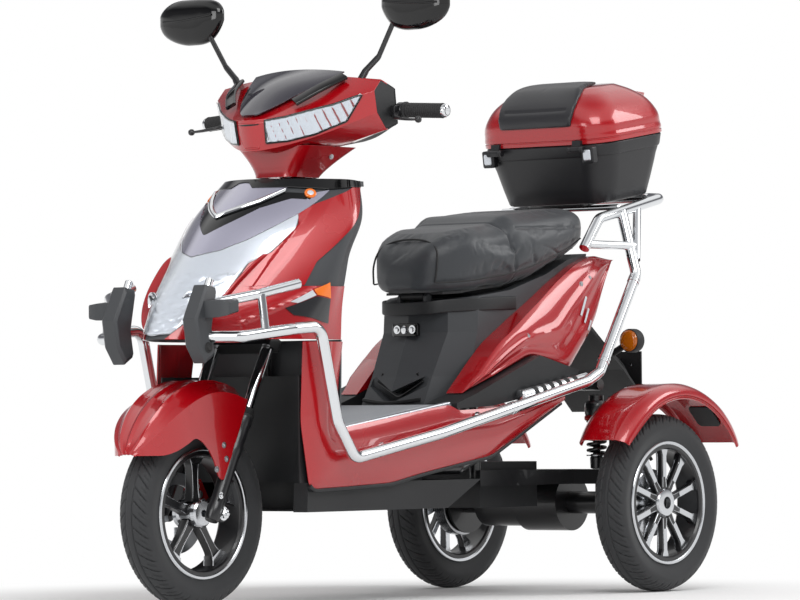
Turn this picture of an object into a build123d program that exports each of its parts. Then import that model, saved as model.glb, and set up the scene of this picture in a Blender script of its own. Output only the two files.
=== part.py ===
from build123d import *
import math
import os

# Electric leisure tricycle: one steered front wheel, two driven rear wheels, step-through floor,
# two-up saddle and a top case with a backrest.
# Lengths are millimetres. X runs forward, Y to the rider's left and Z up from the ground.
# While the pieces are made, X is measured from the rear axle. Each piece is then moved so that the
# origin lies on the ground under the middle of the whole machine.

# Driving dimensions
wheelbase = 1274.0
track = 615.0
tyre_radius = 205.0
tyre_width = 80.0
rim_radius = 140.0
rake = 27.0
nose_x = 1486.0
tail_x = -288.0
body_half = 200.0
sill_out = 22.0
guard_out = 58.0
belly_z = 205.0
floor_front_z = 377.0
floor_slope = 8.0
running = 0.05
seat_gap = 0.3
overrun = 20.0
skin = 4.0
panel_gap = 6.0

sill_half = body_half + sill_out

mid_x = (nose_x + tail_x) / 2
front_x = wheelbase
wheel_y = track / 2
rake_sin = math.sin(math.radians(rake))
rake_cos = math.cos(math.radians(rake))
steer_trail_x = 6.0
steer_x = front_x + steer_trail_x


# Shape helpers
def moved(shape, x, y, z):
    """The shape carried by an offset."""
    return Pos(x, y, z) * shape


def side_plate(points, y_from, y_to):
    """A flat outline in the XZ plane, as thick as the span from y_from to y_to."""
    outline = make_face(Polyline(*[(x, y_from, z) for x, z in points], close=True))
    return extrude(outline, y_to - y_from, dir=(0, 1, 0))


def front_plate(points, x_from, x_to):
    """A flat outline in the YZ plane, as thick as the span from x_from to x_to."""
    outline = make_face(Polyline(*[(x_from, y, z) for y, z in points], close=True))
    return extrude(outline, x_to - x_from, dir=(1, 0, 0))


def plan_plate(points, z_from, z_to):
    """A flat outline in the XY plane, as thick as the span from z_from to z_to."""
    outline = make_face(Polyline(*[(x, y, z_from) for x, y in points], close=True))
    return extrude(outline, z_to - z_from, dir=(0, 0, 1))


def in_box(shares, low, high):
    """Points given as shares of the rectangle between two named corners."""
    return [(low[0] + (high[0] - low[0]) * u, low[1] + (high[1] - low[1]) * v) for u, v in shares]


def in_space(shares, low, high):
    """Points given as shares of the space between two named corners."""
    return [tuple(a + (b - a) * share for share, a, b in zip(row, low, high)) for row in shares]


def both_sides(points):
    """A plan outline from its left half, which runs from front to rear."""
    return points + [(x, -y) for x, y in reversed(points) if y != 0]


def both_flanks(points):
    """A front outline from its left half, which runs from bottom to top or back."""
    return points + [(-y, z) for y, z in reversed(points) if y != 0]


def mirrored(shape):
    """The same shape on the rider's right."""
    return mirror(shape, about=Plane.XZ)


def pair(shape):
    """The shape on both sides."""
    return [shape, mirrored(shape)]


def bent_tube(points, radius, bend):
    """A round bar along straight runs joined by arcs of one radius."""
    path = FilletPolyline(*points, radius=bend)
    return sweep(Plane(origin=path @ 0, z_dir=path % 0) * Circle(radius), path=path)


def straight_tube(start, end, radius):
    """A round bar between two points."""
    run = Vector(*end) - Vector(*start)
    return extrude(Plane(origin=start, z_dir=run) * Circle(radius), run.length)


def cross_tube(x, z, y_from, y_to, radius):
    """A round bar that lies along Y."""
    return straight_tube((x, y_from, z), (x, y_to, z), radius)


def block(x_from, x_to, y_from, y_to, z_from, z_to):
    """A plain block between two corners."""
    size = (x_to - x_from, y_to - y_from, z_to - z_from)
    centre = Pos((x_from + x_to) / 2, (y_from + y_to) / 2, (z_from + z_to) / 2)
    return centre * Box(*size)


def spun(profile, x=0, y=0, z=0):
    """A closed profile of (y, radius) edges in the YZ plane, turned about the Y axis through a point."""
    return moved(revolve(make_face(profile), Axis.Y, 360), x, y, z)


def steer_point(height, ahead=0.0, y=0.0):
    """A point at a height on the steering axis, moved forward at right angles to it."""
    x = steer_x - (height - tyre_radius) * rake_sin / rake_cos
    return (x + ahead * rake_cos, y, height + ahead * rake_sin)


def save(name, *shapes):
    """Writes the node's solids, moved from the rear axle to the part's own origin."""
    solids = [solid for shape in shapes for solid in shape.solids()]
    placed = [moved(solid, -mid_x, 0, 0) for solid in solids]
    whole = placed[0] if len(placed) == 1 else Compound(children=placed)
    export_step(whole, f"parts/{name}.step")


os.makedirs("parts", exist_ok=True)


# Wheels
bead_half = 30.0
rim_wall = 11.0
flange_height = 3.0
bulge_radius_share = 0.84
tread_edge_share = 0.955
tread_half_share = 0.8
axle_radius = 7.0
hub_radius = 30.0
front_hub_half = 34.0
disc_outer = 88.0
disc_inner = 62.0
disc_half = 2.0
disc_y = -45.0


def tyre():
    """A tyre with a round crown, seated between the rim's flanges."""
    seat = rim_radius - flange_height + seat_gap
    bead = rim_radius + 2 * flange_height
    edge = tyre_radius * tread_edge_share
    edge_half = tyre_width / 2 * tread_half_share
    bulge = tyre_radius * bulge_radius_share
    half = tyre_width / 2
    profile = Polyline((0, -bead_half, bead), (0, -bead_half, seat), (0, bead_half, seat),
                       (0, bead_half, bead))
    profile += ThreePointArc((0, bead_half, bead), (0, half, bulge), (0, edge_half, edge))
    profile += ThreePointArc((0, edge_half, edge), (0, 0, tyre_radius), (0, -edge_half, edge))
    profile += ThreePointArc((0, -edge_half, edge), (0, -half, bulge), (0, -bead_half, bead))
    return spun(profile)


def rim_barrel():
    """The rim's barrel with a flange at each edge."""
    inner = rim_radius - flange_height - rim_wall
    seat = rim_radius - flange_height
    lip_in = bead_half + seat_gap
    lip_out = lip_in + skin
    lip = rim_radius + flange_height
    profile = Polyline((0, -lip_out, inner), (0, lip_out, inner), (0, lip_out, lip),
                       (0, lip_in, lip), (0, lip_in, seat), (0, -lip_in, seat),
                       (0, -lip_in, lip), (0, -lip_out, lip), close=True)
    return spun(profile)


def spoke(y_mid, thick, foot_half, tip_half, flare_half):
    """One spoke from hub to barrel, which widens into a triangular pad at the barrel."""
    reach = rim_radius - flange_height - rim_wall / 2
    flare_from = reach * flare_start_share
    outline = [(foot_half, hub_radius / 2), (tip_half, flare_from), (flare_half, reach)]
    return side_plate(outline + [(-x, z) for x, z in reversed(outline)], y_mid - thick / 2,
                      y_mid + thick / 2)


flare_start_share = 0.82
front_spokes = 5
front_spoke_thick = 22.0
front_spoke_foot = 11.0
front_spoke_tip = 13.0
front_spoke_flare = 32.0
rear_spokes = 10
rear_spoke_thick = 16.0
rear_spoke_foot = 8.0
rear_spoke_tip = 6.5
rear_spoke_flare = 15.0
rear_spoke_y = 14.0
rear_hub_radius = 34.0
rear_hub_out = 30.0
drum_radius = 78.0
drum_width = 34.0
spindle_radius = 12.0

front_rim = rim_barrel() + cross_tube(0, 0, -front_hub_half, front_hub_half, hub_radius)
for index in range(front_spokes):
    one = spoke(0, front_spoke_thick, front_spoke_foot, front_spoke_tip, front_spoke_flare)
    front_rim += Rot(0, index * 360 / front_spokes, 0) * one
disc_carrier = cross_tube(0, 0, disc_y - disc_half, -front_hub_half, hub_radius)
front_rim = front_rim + disc_carrier
front_rim = front_rim - cross_tube(0, 0, -rim_radius, rim_radius, axle_radius + running)
disc = cross_tube(0, 0, disc_y - disc_half, disc_y + disc_half, disc_outer)
disc_arm_width = 12.0
arms = disc - cross_tube(0, 0, -rim_radius, rim_radius, disc_inner)
for index in range(front_spokes):
    arm = block(-disc_arm_width / 2, disc_arm_width / 2, disc_y - disc_half, disc_y + disc_half,
                hub_radius + seat_gap, disc_inner + disc_arm_width / 2)
    arms += Rot(0, (index + 0.5) * 360 / front_spokes, 0) * arm
save("front_tyre", moved(tyre(), front_x, 0, tyre_radius))
save("front_rim", moved(front_rim, front_x, 0, tyre_radius))
save("front_disc", moved(arms, front_x, 0, tyre_radius))

rear_rim = rim_barrel() + cross_tube(0, 0, -bead_half, rear_hub_out, rear_hub_radius)
for index in range(rear_spokes):
    one = spoke(rear_spoke_y, rear_spoke_thick, rear_spoke_foot, rear_spoke_tip, rear_spoke_flare)
    rear_rim += Rot(0, index * 360 / rear_spokes, 0) * one
drum = cross_tube(0, 0, -bead_half - drum_width / 2, -bead_half + drum_width / 2, drum_radius)
rear_rim = rear_rim + drum
rear_rim = rear_rim - cross_tube(0, 0, -rim_radius, rear_hub_out / 2, spindle_radius + running)
for side_name, flip in (("left", False), ("right", True)):
    pieces = {"tyre": tyre(), "rim": rear_rim}
    for piece_name, piece in pieces.items():
        placed = moved(piece, 0, wheel_y, tyre_radius)
        save(f"rear_{side_name}_{piece_name}", mirrored(placed) if flip else placed)


# Fork: the legs lie beside the wheel, a little ahead of the steering axis
leg_y = 76.0
leg_ahead = 10.0
stanchion_radius = 13.5
slider_radius = 18.0
slider_top_z = 410.0
slider_low_z = 188.0
stanchion_top_z = 560.0
yoke_half = 13.0
yoke_thick = 26.0
column_radius = 14.0
column_top_z = 1078.0
head_tube_radius = 25.0
head_tube_low_z = 590.0
head_tube_top_z = 860.0
axle_lug_radius = 17.0
axle_lug_thick = 24.0


def leg_point(height, y):
    """A point at a height on the line of a fork leg."""
    foot = steer_point(height)
    return (foot[0] + leg_ahead, y, height)


yoke_plane = Plane(origin=leg_point(stanchion_top_z, 0), z_dir=(-rake_sin, 0, rake_cos))
yoke = yoke_plane * extrude(RectangleRounded(2 * yoke_half + slider_radius,
                                             2 * (leg_y + slider_radius), yoke_half / 2), yoke_thick)
column_foot = steer_point(stanchion_top_z)
column = straight_tube(column_foot, steer_point(column_top_z), column_radius)
save("fork_yoke", yoke + column)

stanchion = straight_tube(leg_point(slider_top_z + seat_gap, leg_y),
                          leg_point(stanchion_top_z - seat_gap, leg_y), stanchion_radius)
save("fork_stanchions", *pair(stanchion))

slider = straight_tube(leg_point(slider_low_z, leg_y), leg_point(slider_top_z, leg_y), slider_radius)
slider = slider + cross_tube(front_x, tyre_radius, leg_y - axle_lug_thick / 2,
                             leg_y + axle_lug_thick / 2, axle_lug_radius)
fork_axle = cross_tube(front_x, tyre_radius, -leg_y, leg_y, axle_radius)
save("fork_sliders", slider + fork_axle + mirrored(slider))

caliper_length = 62.0
caliper_height = 40.0
caliper_reach = 4.0
caliper_half = 13.0
caliper_turn = 58.0
caliper_radius = disc_outer - caliper_height / 3
caliper = block(-caliper_length / 2, caliper_length / 2, disc_y - caliper_half,
                disc_y + caliper_half, -caliper_height / 2, caliper_height / 2)
slot = block(-caliper_length, caliper_length, disc_y - disc_half - seat_gap,
             disc_y + disc_half + seat_gap, -caliper_height,
             disc_outer - caliper_radius + caliper_reach)
caliper = moved(caliper - slot, 0, 0, caliper_radius)
caliper = moved(Rot(0, -caliper_turn, 0) * caliper, front_x, 0, tyre_radius)
save("brake_caliper", caliper)

# Front fender: a channel around the wheel, cut to the side and plan outlines of the real one
fender_centre_back = 3.0
fender_centre_rise = 61.0
fender_radius = 225.6
fender_half = 86.0
fender_crown_half = 44.0
fender_shoulder = 26.0
fender_skirt_radius = 10.0
fender_low = (front_x - 95.0, tyre_radius + 71.0)
fender_high = (nose_x, tyre_radius + 315.0)
fender_side_shares = [(1.0, 0.22), (0.86, 0.225), (0.72, 0.28), (0.58, 0.37), (0.42, 0.27),
                      (0.33, 0.01), (0.285, 0.0), (0.025, 0.68), (0.0, 1.0), (1.0, 1.0)]
fender_plan_shares = [(1.0, 0.26), (0.88, 0.72), (0.66, 1.05), (-0.1, 1.05)]


def channel(half, crown_half, radius, shoulder, skirt_radius, wall):
    """A fender's cross-section in the YZ plane, with its open side towards the wheel's axle."""
    outer = [(half, skirt_radius), (half - wall, radius - shoulder), (crown_half, radius)]
    inner = [(half - wall, skirt_radius), (half - 2 * wall, radius - shoulder - wall / 2),
             (crown_half - wall / 2, radius - wall)]
    left = [(0, y, r) for y, r in outer]
    right = [(0, -y, r) for y, r in reversed(outer)]
    left_in = [(0, y, r) for y, r in reversed(inner)]
    right_in = [(0, -y, r) for y, r in inner]
    return Polyline(*(left + right + right_in + left_in), close=True)


fender_ring = spun(channel(fender_half, fender_crown_half, fender_radius, fender_shoulder,
                           fender_skirt_radius, skin),
                   front_x - fender_centre_back, 0, tyre_radius + fender_centre_rise)
fender_cut = side_plate(in_box(fender_side_shares, fender_low, fender_high),
                        -fender_half - overrun, fender_half + overrun)
fender_plan = in_box(fender_plan_shares, (fender_low[0], 0), (nose_x, fender_half))
fender_cut = fender_cut & plan_plate(both_sides(fender_plan), fender_low[1] - overrun,
                                     fender_high[1] + overrun)
leg_room = slider_radius + seat_gap
legs = pair(straight_tube(leg_point(slider_low_z - overrun, leg_y),
                          leg_point(stanchion_top_z + overrun, leg_y), leg_room))
front_fender = fender_ring & fender_cut
for leg in legs:
    front_fender = front_fender - leg
save("front_fender", front_fender)


# Handlebar and the cover around it
bar_radius = 11.0
bar_z = 1084.0
bar_end_z = 1077.0
bar_x = 831.0
bar_end_x = 818.0
bar_inner_y = 222.0
bar_end_y = 352.0
grip_radius = 16.5
grip_from_y = 240.0
bar_cap_length = 12.0
bar_rise_y = 60.0

cover_section_shares = [
    # share of the half width, then x and z of: nose top, brow, back top, back low, belly, nose low
    (0.0, (1.00, 0.42), (0.52, 0.96), (0.18, 0.98), (0.10, 0.25), (0.40, 0.02), (0.96, 0.06)),
    (0.5, (0.80, 0.52), (0.46, 0.98), (0.14, 0.94), (0.06, 0.22), (0.40, 0.14), (0.76, 0.20)),
    (1.0, (0.44, 0.78), (0.36, 0.92), (0.20, 0.82), (0.17, 0.40), (0.30, 0.32), (0.41, 0.52)),
]
cover_low = (790.0, 985.0)
cover_high = (1078.0, 1160.0)
cover_half = 226.0
dash_x = 872.0
lamp_back_x = 948.0
lamp_shares = [(0.20, 0.13), (0.56, 0.24), (0.80, 0.40), (0.92, 0.74), (0.72, 0.60), (0.26, 0.44)]
grille_half = 40.0
grille_low_z = 1000.0
grille_top_z = 1052.0
grille_depth = 26.0

bar_points = [(bar_end_x, -bar_end_y, bar_end_z), (bar_x, -bar_inner_y, bar_z),
              steer_point(bar_z, 0, -bar_rise_y), steer_point(bar_z, 0, bar_rise_y),
              (bar_x, bar_inner_y, bar_z), (bar_end_x, bar_end_y, bar_end_z)]
bar = bent_tube(bar_points, bar_radius, 3 * bar_radius)
column_room = straight_tube(column_foot, steer_point(column_top_z + overrun),
                            column_radius + seat_gap)
clamp_length = 40.0
clamp_wall = 8.0
clamp_radius = column_radius + clamp_wall
clamp = straight_tube(steer_point(column_top_z - clamp_length), steer_point(column_top_z),
                      clamp_radius)
handlebar = bar + clamp - column_room
save("handlebar", handlebar)

bar_room = bent_tube(bar_points, bar_radius + seat_gap, 3 * bar_radius)
clamp_room = straight_tube(steer_point(column_top_z - clamp_length - seat_gap),
                           steer_point(column_top_z + seat_gap), clamp_radius + seat_gap)


def cover_section(row, y):
    """One cross-section of the head cover as a closed face."""
    points = in_box(row[1:], cover_low, cover_high)
    return make_face(Polyline(*[(x, y, z) for x, z in points], close=True))


rows = [(-share, *points) for share, *points in reversed(cover_section_shares[1:])]
rows += cover_section_shares
head_volume = loft([cover_section(row, row[0] * cover_half) for row in rows], ruled=True)
for room in (bar_room, clamp_room, column_room):
    head_volume = head_volume - room
dash = head_volume & block(cover_low[0] - overrun, dash_x, -cover_half, cover_half,
                           cover_low[1] - overrun, cover_high[1] + overrun)
front_cover = head_volume - block(cover_low[0] - overrun, dash_x, -cover_half - overrun,
                                  cover_half + overrun, cover_low[1] - overrun,
                                  cover_high[1] + overrun)
lamp_outline = in_box(lamp_shares, (0, cover_low[1]), (cover_half, cover_high[1]))
lamp_prism = front_plate(lamp_outline, lamp_back_x, cover_high[0] + overrun)
lamps = [front_cover & prism for prism in pair(lamp_prism)]
for prism in pair(lamp_prism):
    front_cover = front_cover - prism
grille_cut = front_plate([(-grille_half, grille_top_z), (grille_half, grille_top_z),
                          (grille_half / 2, grille_low_z), (-grille_half / 2, grille_low_z)],
                         cover_high[0] - grille_depth, cover_high[0] + overrun)
grille = front_cover & grille_cut
front_cover = front_cover - grille_cut
save("head_cover", front_cover)
save("head_lamps", *lamps)
save("head_grille", grille)
save("dash_panel", dash)

# Windscreen: a thin shield that rises over the cover's brow
screen_foot_x = 1072.0
screen_foot_z = 1064.0
screen_half = 128.0
screen_foot_half = 20.0
screen_corner_x = 915.0
screen_corner_z = 1160.0
screen_thick = 5.0
screen_lift = 7.0
foot_left = Vector(screen_foot_x, screen_foot_half, screen_foot_z + screen_lift)
foot_right = Vector(screen_foot_x, -screen_foot_half, screen_foot_z + screen_lift)
corner_left = Vector(screen_corner_x, screen_half, screen_corner_z + screen_lift)
corner_right = Vector(screen_corner_x, -screen_half, screen_corner_z + screen_lift)
screen_face = make_face(Polyline(foot_right, foot_left, corner_left, corner_right, close=True))
screen_normal = (corner_left - foot_left).cross(foot_right - foot_left).normalized()
if screen_normal.Z < 0:
    screen_normal = screen_normal * -1
windscreen = extrude(screen_face, screen_thick, dir=screen_normal)
windscreen = (windscreen - head_volume).solids().sort_by(SortBy.VOLUME)[-1]
save("windscreen", windscreen)

# Neck cover: the shroud between the head and the leg shield
neck_low_z = 962.0
neck_top_z = 1006.0
neck_wall = 4.0
neck_low_ahead = 46.0
neck_sections = [
    # height, length, width, corner
    (neck_low_z, 124.0, 123.0, 22.0), (neck_top_z, 192.0, 209.0, 30.0),
]
neck_faces = []
neck_holes = []
for height, length, width, corner in neck_sections:
    middle = steer_point(height, neck_low_ahead)
    flat = Plane(origin=(middle[0], 0, height))
    neck_faces.append(flat * RectangleRounded(length, width, corner))
    neck_holes.append(flat * RectangleRounded(length - 2 * neck_wall, width - 2 * neck_wall,
                                              corner - neck_wall / 2))
neck = loft(neck_faces, ruled=True) - loft(neck_holes, ruled=True)
neck = neck - head_volume
save("neck_cover", neck.solids().sort_by(SortBy.VOLUME)[-1])

grip = straight_tube((bar_end_x, bar_end_y, bar_end_z), (bar_x, bar_inner_y, bar_z), grip_radius)
grip = grip & block(cover_low[0] - overrun, cover_high[0], grip_from_y,
                    bar_end_y - bar_cap_length, cover_low[1], cover_high[1])
cap = straight_tube((bar_end_x, bar_end_y, bar_end_z), (bar_x, bar_inner_y, bar_z),
                    grip_radius - skin / 2)
cap = cap & block(cover_low[0] - overrun, cover_high[0], bar_end_y - bar_cap_length,
                  bar_end_y + overrun, cover_low[1], cover_high[1])
save("grips", *[solid - bar_room for solid in pair(grip)])
save("bar_ends", *[solid - bar_room for solid in pair(cap)])

# Brake levers on the bar, inboard of the grips
lever_radius = 6.0
lever_tip = (893.0, 330.0, 1056.0)
lever_mid = (888.0, 262.0, 1062.0)
perch_y = 231.0
perch_half = 8.0
perch_radius = 17.0
perch = cross_tube(bar_x, bar_z, perch_y - perch_half, perch_y + perch_half, perch_radius)
lever_root = (bar_x + perch_radius * 0.8, perch_y, bar_z - perch_radius / 3)
lever = perch + bent_tube([lever_root, lever_mid, lever_tip], lever_radius, 4 * lever_radius)
lever = lever + Pos(*lever_tip) * Sphere(lever_radius + skin / 2)
save("brake_levers", *[solid - bar_room - head_volume for solid in pair(lever)])

# Mirrors: heads on cranked stalks
mirror_x = 900.0
mirror_y = 325.0
mirror_z = 1304.0
mirror_half_width = 93.0
mirror_half_height = 52.0
mirror_thick = 30.0
stalk_radius = 6.0
stalk_base = (905.0, 172.0, 1132.0)
stalk_knee = (893.0, 215.0, 1175.0)
mirror_shares = [(-1.0, 0.05), (-0.82, 0.85), (-0.2, 1.0), (0.6, 0.92), (1.0, 0.3), (0.86, -0.5),
                 (0.2, -0.98), (-0.55, -0.88)]
mirror_outline = [(mirror_y + u * mirror_half_width, mirror_z + v * mirror_half_height)
                  for u, v in mirror_shares]
mirror_head = front_plate(mirror_outline, mirror_x - mirror_thick / 2, mirror_x + mirror_thick / 2)
stalk = bent_tube([stalk_base, stalk_knee, (mirror_x, mirror_y - mirror_half_width / 2, mirror_z)],
                  stalk_radius, 3 * stalk_radius)
mirror_base = straight_tube(stalk_base, (stalk_base[0], stalk_base[1], stalk_base[2] + overrun),
                            2 * stalk_radius)
mirror_piece = mirror_head + stalk + mirror_base
save("mirrors", *[solid - head_volume for solid in pair(mirror_piece)])

# Leg shield: a shell lofted through plan sections, from the beak up to the neck
shield_low_z = 578.0
shield_top_z = 928.0
shield_rear_x = 885.0
shield_nose_x = 1400.0
shield_out = 15.0
shield_half = body_half + shield_out
shield_wall = 5.0
shield_section_shares = [
    # height, nose x, cheek x, cheek y, shoulder x, shoulder y, rear x, rear y
    (0.00, 1.00, 0.83, 0.44, 0.52, 0.93, 0.25, 0.95),
    (0.24, 0.90, 0.72, 0.56, 0.42, 0.98, 0.25, 0.97),
    (0.52, 0.73, 0.59, 0.56, 0.32, 1.00, 0.20, 0.97),
    (0.76, 0.58, 0.47, 0.53, 0.22, 0.97, 0.10, 0.95),
    (1.00, 0.38, 0.31, 0.42, 0.13, 0.77, 0.01, 0.74),
]


def shield_section(row, inset):
    """One plan section of the leg shield as a closed face, drawn in by a wall's thickness."""
    height, nose, cheek_x, cheek_y, shoulder_x, shoulder_y, rear_x, rear_y = row
    z = shield_low_z + (shield_top_z - shield_low_z) * height
    length = shield_nose_x - shield_rear_x
    left = [(shield_rear_x + length * nose - 2 * inset, 0),
            (shield_rear_x + length * cheek_x - 1.5 * inset, shield_half * cheek_y - 0.5 * inset),
            (shield_rear_x + length * shoulder_x - 0.5 * inset, shield_half * shoulder_y - inset),
            (shield_rear_x + length * rear_x - 4 * inset, shield_half * rear_y - inset)]
    return make_face(Polyline(*[(x, y, z) for x, y in both_sides(left)], close=True))


shield_outer = loft([shield_section(row, 0) for row in shield_section_shares], ruled=True)
shield_inner = loft([shield_section(row, shield_wall) for row in shield_section_shares], ruled=True)
shield = shield_outer - shield_inner

knee_low = (shield_rear_x - overrun, shield_low_z)
knee_high = (1032.0, shield_top_z + overrun)
knee_shares = [(0.0, 1.0), (0.389, 1.0), (0.880, 0.492), (1.0, 0.330), (0.940, 0.303), (0.868, 0.0),
               (0.0, 0.0)]
knee_cut = side_plate(in_box(knee_shares, knee_low, knee_high), -shield_half - overrun,
                      shield_half + overrun)
knee_shell = shield & knee_cut
shield = shield - knee_cut

nose_panel_low_z = 745.0
nose_panel_rear_x = 985.0
nose_panel_front_x = 1275.0
nose_panel_half = 104.0
nose_panel_shares = [(1.0, 0.0), (0.728, 1.0), (0.310, 0.962), (0.0, 0.808)]
nose_panel_plan = both_sides(in_box(nose_panel_shares, (nose_panel_rear_x, 0),
                                    (nose_panel_front_x, nose_panel_half)))
nose_prism = plan_plate(nose_panel_plan, nose_panel_low_z, shield_top_z + overrun)
nose_panel = shield & nose_prism
shield = shield - nose_prism
lens_low = (0, 612.0)
lens_high = (176.0, 866.0)
lens_back_x = 1020.0
lens_shares = [(0.0, 0.0), (0.330, 0.283), (0.591, 0.323), (0.705, 0.512), (1.0, 0.827), (0.852, 1.0),
               (0.557, 0.740), (0.341, 0.591), (0.0, 0.465)]
lens_prism = front_plate(both_flanks(in_box(lens_shares, lens_low, lens_high)), lens_back_x,
                         shield_nose_x + overrun)
front_lens = shield & lens_prism
shield = shield - lens_prism
save("leg_shield", shield)
save("nose_panel", nose_panel)
save("front_lens", front_lens)

# Frame: head tube, down tube, floor rails and the rear rails under the saddle
floor_rear_x = 624.0
floor_front_x = 1044.0
floor_thick = 9.0
floor_rise = math.tan(math.radians(floor_slope))
down_radius = 14.0
rail_radius = 13.0
rail_inset = 36.0
rail_y = body_half - rail_inset
rear_rail_y = 104.0
rail_z = 292.0
down_top_z = 760.0
rail_front_x = 1000.0
rail_rear_x = 560.0
kick_x = 400.0
kick_z = 322.0
rail_end_x = 60.0
rail_end_z = 486.0
shock_cross_x = 86.0
shock_y = body_half
pivot_x = 420.0
pivot_z = 268.0
pivot_half = 136.0
post_radius = 9.0
box_hang_x = 300.0
box_hang_z = 370.0


def floor_top(x):
    """Height of the floor's upper face at a place along the machine."""
    return floor_front_z + (floor_front_x - x) * floor_rise


floor_post_x = (940.0, 680.0)
base_post_rows = [
    # share of the way from one rail bend to the next, height
    (0.6875, 140.0), (0.735, 110.0),
]
down_x = 1031.0
down_bend_z = 640.0
down_foot_z = 340.0
down_points = [steer_point(down_top_z, -down_radius), (down_x, 0, down_bend_z),
               (down_x, 0, down_foot_z), (rail_front_x, 0, rail_z)]
frame = straight_tube(steer_point(head_tube_low_z), steer_point(head_tube_top_z), head_tube_radius)
frame = frame + bent_tube(down_points, down_radius, 2 * down_radius)
frame = frame + cross_tube(rail_front_x, rail_z, -rail_y, rail_y, rail_radius)
rail_points = [(rail_front_x, rail_y, rail_z), (rail_rear_x, rail_y, rail_z),
               (kick_x, rear_rail_y, kick_z), (rail_end_x, rear_rail_y, rail_end_z)]
rail = bent_tube(rail_points, rail_radius, 3 * rail_radius)
frame = frame + rail + mirrored(rail)
frame = frame + cross_tube(shock_cross_x, rail_end_z - rail_radius / 2, -shock_y - rail_radius,
                           shock_y + rail_radius, rail_radius)
hanger = straight_tube((pivot_x, rear_rail_y, kick_z), (pivot_x, rear_rail_y, pivot_z), rail_radius)
frame = frame + hanger + mirrored(hanger)
frame = frame + cross_tube(pivot_x, pivot_z, -pivot_half, pivot_half, rail_radius)
post_lines = [((x, rail_y, rail_z), floor_top(x) - floor_thick) for x in floor_post_x]
for (share, height), start, end in zip(base_post_rows, rail_points[1:], rail_points[2:]):
    foot = tuple(a + (b - a) * share for a, b in zip(start, end))
    post_lines.append((foot, foot[2] + height))
for foot, post_top in post_lines:
    post = straight_tube(foot, (foot[0], foot[1], post_top), post_radius)
    frame = frame + post + mirrored(post)
frame = frame + cross_tube(box_hang_x, box_hang_z, -rear_rail_y, rear_rail_y, post_radius)
column_bore = straight_tube(steer_point(head_tube_low_z - overrun),
                            steer_point(head_tube_top_z + overrun), column_radius + running)
frame = (frame - column_bore).solids().sort_by(SortBy.VOLUME)[-1]

# Floor: sloping board, battery under it and the belly pan around that
floor_half = body_half - seat_gap
belly_front_x = 1125.0
belly_rear_x = 640.0
belly_kick_x = 520.0
belly_top_z = 268.0
battery_x = (655.0, 985.0)
battery_half = 138.0
battery_z = (belly_z + skin + seat_gap, 350.0)



floor_line = [(floor_front_x, floor_top(floor_front_x)), (floor_rear_x, floor_top(floor_rear_x)),
              (floor_rear_x, floor_top(floor_rear_x) - floor_thick),
              (floor_front_x, floor_top(floor_front_x) - floor_thick)]
floorboard = side_plate(floor_line, -floor_half, floor_half)
battery = block(battery_x[0], battery_x[1], -battery_half, battery_half, battery_z[0], battery_z[1])
save("battery_pack", battery)

belly_half = body_half - seat_gap
belly_line = [(belly_front_x, belly_z), (belly_rear_x, belly_z), (belly_kick_x, belly_top_z),
              (belly_front_x - skin, belly_top_z)]
belly = side_plate(belly_line, -belly_half, belly_half)
belly_room = side_plate([(belly_front_x - skin, belly_z + skin), (belly_rear_x, belly_z + skin),
                         (belly_kick_x - overrun, belly_top_z + overrun),
                         (belly_front_x - 2 * skin, belly_top_z + overrun)],
                        -belly_half + skin, belly_half - skin)
belly = belly - belly_room
wheel_room_gap = 24.0
wheel_room = cross_tube(front_x, tyre_radius, -2 * tyre_width, 2 * tyre_width,
                        tyre_radius + wheel_room_gap)
belly = belly - wheel_room
save("belly_pan", belly)

# Red sill and side panels: behind the front wheel and along the floor's edge
sill_wall = 5.0
sill_low = (234.0, 250.0)
sill_high = (1158.0, 574.0)
sill_shares = [(0.848, 1.0), (0.989, 1.0), (1.0, 0.463), (0.968, 0.0), (0.667, 0.037), (0.281, 0.210),
               (0.0, 0.580), (0.002, 0.654), (0.281, 0.546), (0.422, 0.531), (0.444, 0.574),
               (0.877, 0.404)]
sill = side_plate(in_box(sill_shares, sill_low, sill_high), body_half, body_half + sill_wall)
skirt_shares = [(0.877, 0.358), (0.937, 0.037), (0.667, 0.049), (0.281, 0.222), (0.017, 0.574),
                (0.017, 0.623), (0.281, 0.525), (0.422, 0.512)]
sill_skirt = side_plate(in_box(skirt_shares, sill_low, sill_high), body_half + sill_wall, sill_half)
save("sill_panels", *pair(sill + sill_skirt))

# Liner behind the front wheel
liner_x = 1047.0
liner_front_x = 1148.0
liner_wall = 4.0
liner_low_z = belly_top_z + seat_gap
liner_top_z = 500.0
liner_half = body_half - seat_gap
liner = block(liner_x, liner_x + liner_wall, -liner_half, liner_half, liner_low_z, liner_top_z)
cheek = block(liner_x, liner_front_x, liner_half - liner_wall, liner_half, liner_low_z, liner_top_z)
liner = liner + cheek + mirrored(cheek)
liner = liner - wheel_room
save("wheel_liner", liner)

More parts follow.
